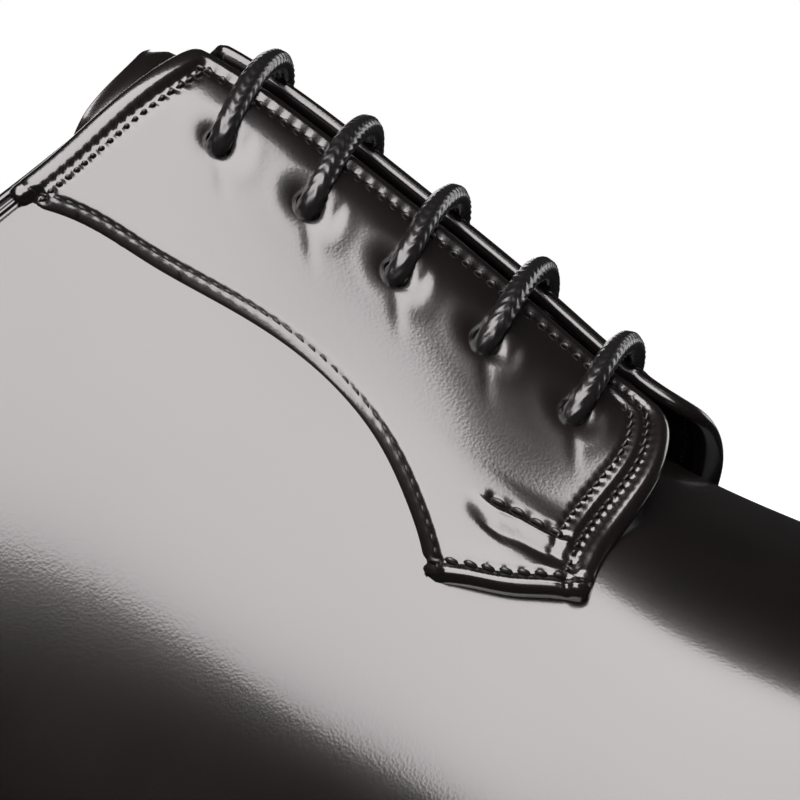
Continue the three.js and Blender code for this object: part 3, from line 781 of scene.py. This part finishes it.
def sheet_on_pattern(inner, hole_places, hole_radius):
    """Flat grid inside a line, its rim drawn onto the line, with holes left open."""
    low, high = inner.min(0) - CELL, inner.max(0) + CELL
    across = int((high[0] - low[0]) / CELL) + 1
    rows = int((high[1] - low[1]) / CELL) + 1
    x = low[0] + CELL * np.arange(across + 1)
    y = low[1] + CELL * np.arange(rows + 1)
    places = np.stack(np.meshgrid(x, y, indexing="ij"), -1).reshape(-1, 2)
    middles = np.stack(np.meshgrid(x[:-1], y[:-1], indexing="ij"), -1).reshape(-1, 2)
    middles += CELL / 2
    keep = inside(middles, inner)
    for place in hole_places:
        keep &= np.hypot(*(middles - place).T) > hole_radius
    cells = np.flatnonzero(keep)
    i, j = cells // rows, cells % rows
    first = i * (rows + 1) + j
    quads = np.stack([first, first + rows + 1, first + rows + 2, first + 1], axis=1)
    open_edges = {}
    for quad in quads.tolist():
        for a, b in zip(quad, quad[1:] + quad[:1]):
            if (b, a) in open_edges:
                del open_edges[(b, a)]
            else:
                open_edges[(a, b)] = True
    rim = np.unique(np.array(list(open_edges)))
    at_hole = np.zeros(len(rim), bool)
    for place in hole_places:
        gap = places[rim] - place
        size = np.hypot(*gap.T)
        near = size < 2.5 * hole_radius
        places[rim[near]] = place + gap[near] / size[near, None] * hole_radius
        at_hole |= near
    outer = rim[~at_hole]
    index = nearest(places[outer], inner)[0]
    places[outer] = inner[index]
    used = np.unique(quads)
    number = -np.ones(len(places), int)
    number[used] = np.arange(len(used))
    is_outer = np.isin(np.arange(len(places)), outer)
    rim_edges = [(number[a], number[b]) for a, b in open_edges if is_outer[a]]
    rim_index = dict(zip(number[outer].tolist(), index.tolist()))
    return places[used], number[quads], rim_edges, rim_index


HOLE_RADIUS = 1.35
EDGE_TUCK = 2.5
holes = np.stack([eyelet_along, np.full(EYELETS, EYELET_DOWN)], axis=1)
flat, quads, rim_edges, rim_index = sheet_on_pattern(inner_line, holes, HOLE_RADIUS)
flat_height = facing_relief(flat)

# The rim is turned over a round edge and runs down to the quarter
rim = sorted(rim_index)
rim_place = flat[rim]
rim_out = -into_fine[[rim_index[r] for r in rim]]
rim_number = {r: k for k, r in enumerate(rim)}
turned = []
for angle in np.linspace(0, math.pi / 2, 6)[1:]:
    ring = rim_place + rim_out * EDGE_ROUND * math.sin(angle)
    turned.append((ring, facing_relief(ring) - EDGE_ROUND * (1 - math.cos(angle))))
foot_ring = rim_place + rim_out * EDGE_ROUND
foot_height = facing_height(foot_ring[:, 0], foot_ring[:, 1]) - FACING_SKIN - 0.4
turned.append((foot_ring, np.minimum(turned[-1][1] - 0.3, foot_height)))
turned.append((rim_place - rim_out * EDGE_TUCK, foot_height - 0.2))

# The inner facing's front reaches a little further forward between two places
INNER_FORWARD = 2.5
FORWARD_FROM = (146.0, 160.0)


def laid(places, side, height):
    """Places of the outer or inner facing's pattern on the last."""
    forward = INNER_FORWARD * step(places[:, 0], *FORWARD_FROM) if side > 0 else 0
    return on_pattern(places[:, 0] + forward, side * places[:, 1], height)


for name, side in (("facing_lateral", -1), ("facing_medial", 1)):
    points = list(laid(flat, side, flat_height))
    faces = [tuple(q) if side < 0 else tuple(q[::-1]) for q in quads.tolist()]
    before = {r: r for r in rim}
    for ring, height in turned:
        start = len(points)
        points.extend(laid(ring, side, height))
        for a, b in rim_edges:
            if a not in rim_number or b not in rim_number:
                continue
            c, d = start + rim_number[a], start + rim_number[b]
            face = (before[a], c, d, before[b])
            faces.append(face if side < 0 else face[::-1])
        before = {r: start + rim_number[r] for r in rim}
    piece(name + "_skin", points, faces, [black_calf], covers=[name])

# Tongue: the vamp's own calf, lined, run up under the lacing, its end showing over the collar.
# It is cut nearly straight across with round corners.
TONGUE_END = 101.6
TONGUE_DIP = 3.4
TONGUE_TIP_HALF = 25.0
TONGUE_HALF = 19.5
TONGUE_SKIN = 2.2
TONGUE_ROWS = 110
TONGUE_COLUMNS = 81
TONGUE_CORNER = 4.5
TONGUE_UNDER = 3.0
TIP_CROWDING = 1.4
TIP_THINNER = 1.2
across_share = np.linspace(-1, 1, TONGUE_COLUMNS)
outer_face = []
inner_face = []
for share in np.linspace(0, 1, TONGUE_ROWS) ** TIP_CROWDING:
    corner_round = np.sqrt(1 - (1 - np.clip(share / 0.07 + 0.02, 0, 1)) ** 2)
    half_width = TONGUE_TIP_HALF - (TONGUE_TIP_HALF - TONGUE_HALF) * share
    half_width -= TONGUE_CORNER * (1 - corner_round)
    across = across_share * half_width
    back = TONGUE_END - TONGUE_DIP * step(np.abs(across), 5, 23)
    along = back + share * (THROAT_PLACE + TONGUE_UNDER - back)
    rolled = bell(share * 60, 1.1)
    rise = 1.0 - 0.5 * step(across_share**2, 0.6, 1) - 0.7 * rolled
    thick = TONGUE_SKIN - TIP_THINNER * rolled
    outer_face.append(on_pattern(along, across, rise))
    inner_face.append(on_pattern(along, across, rise - thick))
tongue_points = np.vstack(outer_face + inner_face)
inner_first = TONGUE_ROWS * TONGUE_COLUMNS
faces = [f[::-1] for f in grid_faces(TONGUE_ROWS, TONGUE_COLUMNS)]
faces += grid_faces(TONGUE_ROWS, TONGUE_COLUMNS, first=inner_first)
for i in range(TONGUE_ROWS - 1):
    for j in (0, TONGUE_COLUMNS - 1):
        a, b = i * TONGUE_COLUMNS + j, (i + 1) * TONGUE_COLUMNS + j
        faces.append((a, b, b + inner_first, a + inner_first))
for j in range(TONGUE_COLUMNS - 1):
    faces.append((j, j + 1, inner_first + j + 1, inner_first + j))
piece("tongue_leather", tongue_points, faces, [black_calf], covers=["tongue"])

# Laces: one round braided cotton lace, waxed black, in straight bars between the eyelets. Behind
# the facings it runs from each bar to the next, and it ends at the top eyelets.
LACE = 3.0
LACE_HIDDEN = 1.7
LACE_SIDES = 40
LACE_STEP = 0.2
BRAID_PITCH = 1.7
BRAID_SECTORS = 8
BRAID_RELIEF = 0.07
BRAID_VALLEY = 0.05
LACE_SINK = 0.25
BARS_LOOSER = (-0.3, 0.5)
LOOSE_AT_THROAT = (8.0, 15.0)


def over_facing(along, down):
    """Height of the lace's middle where it lies on a facing; the front bars lie looser."""
    looser = np.interp(along, (eyelet_along[0], eyelet_along[-1]), BARS_LOOSER)
    looser = looser * (1 - step(down, *LOOSE_AT_THROAT))
    return facing_height(along, down) + LACE / 2 - LACE_SINK + looser


half_way = EYELET_DOWN / 2 + THROAT_GAP / 4
lace_path = []
hidden_down = EYELET_DOWN + 0.6
start_side = -1
for place in eyelet_along[:-1]:
    lace_path.append((place + 1.0, start_side * (hidden_down + 2.4), LACE_HIDDEN))
side = start_side
for k, place in reversed(list(enumerate(eyelet_along))):
    surface = facing_height(place, EYELET_DOWN)
    knots = [
        (place, EYELET_DOWN + 0.3, surface - 2.4),
        (place, EYELET_DOWN + 0.1, surface - 0.5),
        (place, EYELET_DOWN - 0.9, over_facing(place, EYELET_DOWN) - 0.1),
        (place, EYELET_DOWN - 3.6, over_facing(place, EYELET_DOWN - 3.6)),
        (place, half_way, over_facing(place, half_way)),
        (place, THROAT_GAP / 2, over_facing(place, THROAT_GAP / 2)),
    ]
    lace_path += [(a, side * d, h) for a, d, h in knots]
    lace_path += [(a, -side * d, h) for a, d, h in reversed(knots)]
    side = -side
    if k > 0:
        middle = place - EYELET_PITCH / 2
        lace_path.append((middle, side * hidden_down, LACE_HIDDEN))
lace_knots = np.array(lace_path)
lace_middle = on_pattern(lace_knots[:, 0], lace_knots[:, 1], lace_knots[:, 2])
cord = evenly(curve_through(lace_middle, travelled(lace_middle, 0.7), 4000), LACE_STEP)


def tube(line, radius):
    """Rings of points round a line, carried along it without twist, with a radius for each."""
    ahead = unit(np.gradient(line, axis=0))
    across = np.zeros_like(line)
    across[0] = np.cross(ahead[0], (0.3, 0.2, 1.0))
    for i in range(len(line)):
        carried = across[max(i - 1, 0)]
        carried = carried - ahead[i] * (carried @ ahead[i])
        across[i] = carried / np.linalg.norm(carried)
    third = np.cross(ahead, across)
    angle = np.arange(radius.shape[1]) * 2 * math.pi / radius.shape[1]
    ring = across[:, None] * np.cos(angle)[:, None] + third[:, None] * np.sin(angle)[:, None]
    return line[:, None] + ring * radius[..., None]


cord_place = np.arange(len(cord)) * LACE_STEP
sector_angle = np.arange(LACE_SIDES) / LACE_SIDES * BRAID_SECTORS
slant = np.abs((sector_angle / 2) % 1 - 0.5) * 2
braid = np.cos(2 * math.pi * (cord_place[:, None] / BRAID_PITCH + slant * 0.9))
valley = np.abs(np.cos(math.pi * sector_angle))
strand = 0.35 + 0.65 * np.abs(np.sin(math.pi * sector_angle))
cord_relief = BRAID_RELIEF * braid * strand - BRAID_VALLEY * valley
lace_rings = tube(cord, LACE / 2 + cord_relief)

lace_cotton, lace_shader = new_material("lace_cotton", (0.004, 0.0036, 0.0038), 0.3)
lace_shader.inputs["Coat Weight"].default_value = 0.35
lace_shader.inputs["Coat Roughness"].default_value = 0.22
lace_place = lace_cotton.node_tree.nodes.new("ShaderNodeTexCoord").outputs["Object"]
threads = noise(lace_cotton, lace_place, 3200.0, 3.0)
bumped(lace_cotton, lace_shader, threads.outputs["Fac"], 0.5, 0.00006)
lace_faces = grid_faces(len(cord), LACE_SIDES, closed=True)
lace_faces.append(tuple(range(LACE_SIDES))[::-1])
lace_faces.append(tuple((len(cord) - 1) * LACE_SIDES + k for k in range(LACE_SIDES)))
bars = [f"lace_bar_{k + 1}" for k in range(EYELETS)]
piece("lace", lace_rings.reshape(-1, 3), lace_faces, [lace_cotton], covers=bars)

# Stitching: waxed black linen thread. Each stitch is a short slanted loop whose ends dive into
# the leather, in one pitch along the edges and a coarser one round the tabs.
thread = new_material("thread", (0.004, 0.0035, 0.0035), 0.38)[0]
THREAD_RADIUS = 0.27
SEAM_THREAD = 0.17
TAB_THREAD = 0.33
STITCH_SLANT = 0.25
ROW_STEP = 0.1
ROW_CLEARANCE = 1.3
STITCH_POINTS = 6
STITCH_SIDES = 6
stitch_share = np.linspace(-1, 1, STITCH_POINTS)
stitch_arch = 1 - 1.9 * np.abs(stitch_share) ** 3
stitch_swell = np.sqrt(1.06 - stitch_share**4)
stitch_angle = np.arange(STITCH_SIDES) * 2 * math.pi / STITCH_SIDES


def stitch_faces(count):
    """Faces of a number of stitches whose points follow each other."""
    each = STITCH_POINTS * STITCH_SIDES
    faces = []
    for k in range(count):
        faces += grid_faces(STITCH_POINTS, STITCH_SIDES, closed=True, first=k * each)
    return faces


def stitch_row(line, pitch, inset=0.0, slant=STITCH_SLANT, start=0.4):
    """Centres and directions of the stitches of a row beside a line of the pattern."""
    ahead = unit(np.gradient(line, axis=0))
    moved = evenly(line + inset * np.stack([-ahead[:, 1], ahead[:, 0]], axis=1), ROW_STEP)
    picked = np.arange(start, ROW_STEP * len(moved) - 0.4, pitch)
    number = (picked / ROW_STEP).astype(int)
    ahead = unit(np.gradient(moved, axis=0))
    cosine, sine = math.cos(slant), math.sin(slant)
    turn = np.array([[cosine, -sine], [sine, cosine]])
    centre = moved[number]
    kept = inside(centre, outline) & (nearest(centre, outline)[1] > ROW_CLEARANCE)
    return centre[kept], (ahead[number] @ turn.T)[kept]


def sewn(rows, side, length, radius):
    """Points and faces of the stitches of some rows on a facing."""
    centre = np.vstack([row[0] for row in rows])
    ahead = np.vstack([row[1] for row in rows])
    places = centre[:, None] + ahead[:, None] * stitch_share[None, :, None] * length / 2
    flat_places = places.reshape(-1, 2)
    height = facing_relief(flat_places) + np.tile(radius * stitch_arch, len(centre))
    line = laid(flat_places, side, height).reshape(len(centre), STITCH_POINTS, 3)
    out = laid(flat_places, side, height + 1).reshape(len(centre), STITCH_POINTS, 3) - line
    out = unit(out)
    along = unit(np.gradient(line, axis=1))
    across = np.cross(along, out)[:, :, None]
    ring = across * np.cos(stitch_angle)[:, None] + out[:, :, None] * np.sin(stitch_angle)[:, None]
    swell = radius * stitch_swell
    points = (line[:, :, None] + ring * swell[None, :, None, None]).reshape(-1, 3)
    return points, stitch_faces(len(centre))


front_edge = edge_of_side["front"]
tab_edge = edge_of_side["tab"]
handed = 1 if len(stitch_row(free_line, STITCH_PITCH, STITCH_IN)[0]) else -1
fine_rows = [
    stitch_row(free_line, STITCH_PITCH, handed * STITCH_IN),
    stitch_row(front_edge[: -int(5.0 / CELL)], STITCH_PITCH, handed * FRONT_ROW),
]
seam_rows = [stitch_row(edge_of_side["seam"], STITCH_PITCH, handed * SEAM_STITCH, slant=0.1)]
coarse_rows = [
    stitch_row(tab_edge[int(2.0 / CELL):], TAB_PITCH, handed * TAB_STITCH, slant=0.15, start=1.2),
    stitch_row(upper_row, TAB_PITCH, 0, slant=0.15, start=0.6),
]
sewn_rows = (
    (fine_rows, 1.15, THREAD_RADIUS),
    (seam_rows, 1.05, SEAM_THREAD),
    (coarse_rows, 1.9, TAB_THREAD),
)
for name, side in (("facing_stitches_outer", -1), ("facing_stitches_inner", 1)):
    points, faces = np.zeros((0, 3)), []
    for rows, length, radius in sewn_rows:
        more_points, more_faces = sewn(rows, side, length, radius)
        faces += [tuple(v + len(points) for v in face) for face in more_faces]
        points = np.vstack([points, more_points])
    piece(name, points, faces, [thread])

# Collar stitches: the same row goes on round the quarters, at the same distance from the edge
COLLAR_STITCH_HALF = 0.57
SEWN_TO = 92.5
COLLAR_TURNS = 3000
collar_turns = np.linspace(0, ROWS_AROUND, COLLAR_TURNS)
shares, girths = girth_down(collar_turns)
collar_girth = girth_at(collar_share(collar_turns, WALL), shares, girths)
collar_share_sewn = share_at(collar_girth + COLLAR_STITCH, shares, girths)
collar_row = last_point(collar_turns, collar_share_sewn, WALL - 0.2)
collar_out = last_point(collar_turns, collar_share_sewn, WALL + 0.8) - collar_row
beside = np.minimum(collar_turns, ROWS_AROUND - collar_turns)
open_collar = crest_x(beside) < SEWN_TO
runs = np.where(open_collar)[0]
order = np.concatenate([runs[runs > COLLAR_TURNS / 2], runs[runs < COLLAR_TURNS / 2]])
collar_line = np.hstack([collar_row[order], collar_out[order]])
collar_line = evenly(collar_line, ROW_STEP)
picked = np.arange(5, len(collar_line) - 12, int(STITCH_PITCH / ROW_STEP))
points = []
for middle in picked:
    centre, out = collar_line[middle, :3], collar_line[middle, 3:]
    ahead = collar_line[middle + 6, :3] - collar_line[max(middle - 6, 0), :3]
    ahead /= np.linalg.norm(ahead)
    ahead = ahead + STITCH_SLANT * np.cross(out, ahead)
    side_way = np.cross(out, ahead)
    dive = out * (THREAD_RADIUS * stitch_arch)[:, None]
    line = centre + ahead * stitch_share[:, None] * COLLAR_STITCH_HALF + dive
    ring = side_way * np.cos(stitch_angle)[:, None] + out * np.sin(stitch_angle)[:, None]
    swell = THREAD_RADIUS * stitch_swell
    points.append((line[:, None] + ring[None] * swell[:, None, None]).reshape(-1, 3))
faces = stitch_faces(len(points))
piece("collar_stitches", np.vstack(points), faces, [thread])

# Sole: a welt sewn round the feather edge, and a leather outsole stitched to it, edges blacked and
# waxed. Both are cut to the same outline.
SOLE_COLUMNS = 400
EDGE_BEND = 0.8
EDGE_STEPS = 4
CAP_STRIPS = 12
INSOLE_THICKNESS = 2.5
SOCK_INSET = 1.2
WELT_INSET = 0.3
WELT_BEND = 0.6
WELT_ABOVE = 0.05
sole_turns = np.arange(SOLE_COLUMNS) * ROWS_AROUND / SOLE_COLUMNS


def sole_layer(reach, low, high, bend):
    """Plate with the last's outline between two heights, with rounded edges above and below."""
    rings = []
    angles = np.linspace(0, math.pi / 2, EDGE_STEPS + 1)
    for height, way, bends in ((low, 1, angles), (high, -1, angles[::-1])):
        for angle in bends:
            x, y = footprint(sole_turns, reach - bend * (1 - np.sin(angle)))
            rings.append(np.stack([x, y, height(x) + way * bend * (1 - np.cos(angle))], axis=1))
    points = list(np.vstack(rings))
    faces = grid_faces(len(rings), SOLE_COLUMNS, closed=True)
    for ring_number, height, turned_down in ((0, low, True), (len(rings) - 1, high, False)):
        first = ring_number * SOLE_COLUMNS
        half_way = SOLE_COLUMNS // 2
        previous = [first] * (CAP_STRIPS + 1)
        for i in range(1, half_way + 1):
            a, b = first + i, first + (SOLE_COLUMNS - i) % SOLE_COLUMNS
            row = [a]
            if i < half_way:
                for k in range(1, CAP_STRIPS):
                    spot = points[a] + (points[b] - points[a]) * k / CAP_STRIPS
                    row.append(len(points))
                    points.append(np.array([spot[0], spot[1], height(spot[0])]))
            else:
                row += [a] * (CAP_STRIPS - 1)
            row.append(b)
            for k in range(CAP_STRIPS):
                face = (previous[k], previous[k + 1], row[k + 1], row[k])
                face = tuple(dict.fromkeys(face))
                if len(face) > 2:
                    faces.append(face[::-1] if turned_down else face)
            previous = row
    return np.array(points), faces


def outsole_top(x):
    return tread_z(x) + OUTSOLE_THICKNESS


def welt_bottom(x):
    return outsole_top(x) + WELT_ABOVE


def welt_top(x):
    return outsole_top(x) + SEAM_GAP + WELT_THICKNESS


def waxed_sole(name, colour, roughness, relief_size, strength):
    """Sole leather: fine cross fibres on the edge, a little uneven in colour."""
    made, shader = new_material(name, colour, roughness)
    nodes = made.node_tree.nodes
    place = nodes.new("ShaderNodeTexCoord")
    stretch = nodes.new("ShaderNodeMapping")
    stretch.inputs["Scale"].default_value = (1, 1, 4)
    made.node_tree.links.new(place.outputs["Object"], stretch.inputs["Vector"])
    fibres = noise(made, stretch.outputs["Vector"], relief_size, 5.0)
    bumped(made, shader, fibres.outputs["Fac"], strength, 0.0001)
    toned(made, shader, fibres, colour, (0.3, 0.7), (0.75, 1.2))
    return made


edge_leather = waxed_sole("edge_leather", (0.012, 0.009, 0.008), 0.32, 420.0, 0.25)
bottom_leather = waxed_sole("bottom_leather", (0.3, 0.165, 0.08), 0.5, 260.0, 0.3)
reach = welt_reach(sole_turns)
points, faces = sole_layer(reach, tread_z, outsole_top, EDGE_BEND)
outsole_finish = [edge_leather, bottom_leather]
outsole = piece("outsole_leather", points, faces, outsole_finish,
                covers=["outsole"])
for polygon in outsole.data.polygons:
    if polygon.normal.z < -0.9:
        polygon.material_index = 1
points, faces = sole_layer(reach - WELT_INSET, welt_bottom, welt_top, WELT_BEND)
piece("welt_leather", points, faces, [edge_leather], covers=["welt"])


def insole_top(x):
    return feather_z(x) + INSOLE_THICKNESS


sock_reach = np.full(SOLE_COLUMNS, -SOCK_INSET)
points, faces = sole_layer(sock_reach, feather_z, insole_top, EDGE_BEND)
piece("sock", points, faces, [lining_calf], covers=["insole"])

# Welt stitches: heavy waxed thread lying on the welt, halfway out to its edge
WELT_STITCH = 3.1
WELT_STITCH_HALF = 1.25
WELT_THREAD = 0.42
NARROWEST_SEWN = 2.55
seat_turns = np.linspace(0, ROWS_AROUND, 4000)
welt_line = np.stack(footprint(seat_turns, 1.4 + 0.42 * welt_reach(seat_turns)), axis=1)
welt_line = evenly(welt_line[welt_reach(seat_turns) > NARROWEST_SEWN], ROW_STEP)
points = []
for middle in range(20, len(welt_line) - 20, int(WELT_STITCH / ROW_STEP)):
    x, y = welt_line[middle]
    ahead = welt_line[middle + 8] - welt_line[middle - 8]
    # Over the gap at the heel the row has no stitch
    if np.linalg.norm(ahead) > 3:
        continue
    ahead /= np.linalg.norm(ahead)
    for s, swell in zip(stitch_share, stitch_swell):
        half = s * WELT_STITCH_HALF
        centre = np.array([x + ahead[0] * half, y + ahead[1] * half, 0])
        centre[2] = welt_top(centre[0]) + 0.3 - 0.65 * abs(s) ** 3
        for a in stitch_angle:
            way = np.array([-ahead[1] * math.cos(a), ahead[0] * math.cos(a), math.sin(a)])
            points.append(centre + WELT_THREAD * swell * way)
faces = stitch_faces(len(points) // (STITCH_POINTS * STITCH_SIDES))
piece("welt_stitches", points, faces, [thread])

# Heel: three lifts of sole leather and a rubber top piece, glued and nailed in a stack, trimmed
# and blacked together. Its front, the breast, is hollowed.
HEEL_LIFTS = 3
TOP_PIECE_THICKNESS = 6.0
HEEL_TAPER = 0.35
HEEL_BREAST_HOLLOW = 3.0
LIFT_BEND = 0.15
TOP_PIECE_BEND = 0.6
HEEL_COLUMNS = 161
BREAST_COLUMNS = 42
lifts_height = HEEL_HEIGHT - TOP_PIECE_THICKNESS - (HEEL_LIFTS + 1) * SEAM_GAP
lift_thickness = lifts_height / HEEL_LIFTS
breast_row = float(np.interp(HEEL_LENGTH, foot_x(ridge_rows), ridge_rows))


def heel_layer(inset, low, high, bend):
    """One layer of the heel: round at the back, a hollowed breast at the front."""
    back_turns = np.linspace(0, 2 * breast_row, HEEL_COLUMNS)
    turns = (ROWS_AROUND - breast_row + back_turns) % ROWS_AROUND
    x, y = footprint(turns, welt_reach(turns) - inset)
    share = np.linspace(0, 1, BREAST_COLUMNS)[1:-1]
    control = HEEL_LENGTH - 2 * HEEL_BREAST_HOLLOW
    breast_x = (1 - share) ** 2 * x[-1] + 2 * share * (1 - share) * control + share**2 * x[0]
    breast_y = (1 - share) ** 2 * y[-1] + share**2 * y[0]
    edge = np.stack([np.concatenate([x, breast_x]), np.concatenate([y, breast_y])], axis=1)
    inward_way = inward(edge)
    back = slice(HEEL_COLUMNS // 2, HEEL_COLUMNS // 2 + 1)
    if not inside(edge[back] + inward_way[back], edge)[0]:
        inward_way = -inward_way
    rings = []
    part = 0.3 * bend
    for further_in, height in ((bend, low), (part, low + part), (0, low + bend),
                               (0, high - bend), (part, high - part), (bend, high)):
        ring = edge + inward_way * further_in
        rings.append(np.hstack([ring, np.full((len(ring), 1), height)]))
    count = len(edge)
    points = np.vstack(rings)
    after = np.roll(edge, -1, axis=0)
    anticlockwise = (edge[:, 0] * after[:, 1] - edge[:, 1] * after[:, 0]).sum() > 0
    faces = grid_faces(len(rings), count, closed=True)
    if not anticlockwise:
        faces = [face[::-1] for face in faces]
    low_cap = tuple(range(count))
    high_cap = tuple((len(rings) - 1) * count + k for k in range(count))
    faces.append(low_cap[::-1] if anticlockwise else low_cap)
    faces.append(high_cap if anticlockwise else high_cap[::-1])
    return points, faces


for k in range(HEEL_LIFTS):
    low = TOP_PIECE_THICKNESS + SEAM_GAP + k * (lift_thickness + SEAM_GAP)
    inset = (HEEL_LIFTS - k - 1) * HEEL_TAPER
    points, faces = heel_layer(inset, low, low + lift_thickness, LIFT_BEND)
    solid = f"heel_lift_{k + 1}"
    piece(f"lift_{k + 1}", points, faces, [edge_leather], covers=[solid])
top_rubber = waxed_sole("top_rubber", (0.012, 0.012, 0.012), 0.6, 700.0, 0.15)
points, faces = heel_layer(HEEL_LIFTS * HEEL_TAPER, 0.0, TOP_PIECE_THICKNESS, TOP_PIECE_BEND)
piece("top_piece", points, faces, [top_rubber], covers=["heel_top_piece"])

# Floor and light: a pale floor, a white room behind it, and large soft boxes over the shoe.
# They stand where the photo's leather is bright, and don't show to the camera.
FLOOR_SIZE = 1.6
floor_mesh = bpy.data.meshes.new("floor")
half = FLOOR_SIZE / 2
floor_corners = [(-half, -half, 0), (half, -half, 0), (half, half, 0), (-half, half, 0)]
floor_mesh.from_pydata(floor_corners, [], [(0, 1, 2, 3)])
floor = bpy.data.objects.new("floor", floor_mesh)
bpy.context.scene.collection.objects.link(floor)
floor_paint, floor_shader = new_material("floor_paint", (0.8, 0.8, 0.8), 0.9)
floor_shader.inputs["Emission Color"].default_value = (1, 1, 1, 1)
floor_shader.inputs["Emission Strength"].default_value = 0.4
floor_mesh.materials.append(floor_paint)
floor.visible_glossy = False

world = bpy.data.worlds.new("room")
bpy.context.scene.world = world
world.use_nodes = True
room_nodes = world.node_tree.nodes
room_links = world.node_tree.links
backdrop = room_nodes["Background"]
backdrop.inputs["Color"].default_value = (1, 1, 1, 1)
dark_room = room_nodes.new("ShaderNodeBackground")
dark_room.inputs["Color"].default_value = (0.02, 0.02, 0.02, 1)
seen = room_nodes.new("ShaderNodeLightPath")
chosen = room_nodes.new("ShaderNodeMixShader")
room_links.new(seen.outputs["Is Camera Ray"], chosen.inputs["Fac"])
room_links.new(dark_room.outputs["Background"], chosen.inputs[1])
room_links.new(backdrop.outputs["Background"], chosen.inputs[2])
room_links.new(chosen.outputs["Shader"], room_nodes["World Output"].inputs["Surface"])
bpy.context.scene.view_settings.view_transform = "Standard"


def soft_box(name, place, aim, size, radiance, colour=(1, 1, 1)):
    """Rectangular soft box at a place, turned to a point, with an even brightness."""
    lamp_data = bpy.data.lights.new(name, "AREA")
    lamp_data.shape = "RECTANGLE"
    lamp_data.size, lamp_data.size_y = size
    lamp_data.energy = radiance * size[0] * size[1] * math.pi
    lamp_data.color = colour
    lamp = bpy.data.objects.new(name, lamp_data)
    lamp.location = place
    lamp.rotation_mode = "QUATERNION"
    lamp.rotation_quaternion = (Vector(aim) - Vector(place)).to_track_quat("-Z", "Y")
    lamp.visible_camera = False
    bpy.context.scene.collection.objects.link(lamp)
    return lamp


LIGHT_COLOUR = (1.0, 0.95, 0.955)
LIGHT_RADIANCE = 8.5
BACK_RADIANCE = 2.0
BOX_MIDDLE = -0.02
BOX_WIDTH = 1.3
BOX_BACK = -1.22
BOX_TOP = 1.28
FRONT_HEIGHT = 0.74
OVERHEAD_ASIDE = -0.64
soft_box("front", (BOX_MIDDLE, BOX_BACK, FRONT_HEIGHT), (BOX_MIDDLE, 0, FRONT_HEIGHT),
         (BOX_WIDTH, 1.08), LIGHT_RADIANCE, LIGHT_COLOUR)
soft_box("overhead", (BOX_MIDDLE, OVERHEAD_ASIDE, BOX_TOP), (BOX_MIDDLE, OVERHEAD_ASIDE, 0),
         (BOX_WIDTH, 1.16), LIGHT_RADIANCE, LIGHT_COLOUR)
soft_box("back_left", (-0.7, 1.3, 0.35), (0, 0, 0.06), (0.9, 0.5), BACK_RADIANCE)
soft_box("back_right", (0.8, 1.2, 0.35), (0, 0, 0.06), (0.8, 0.5), BACK_RADIANCE)
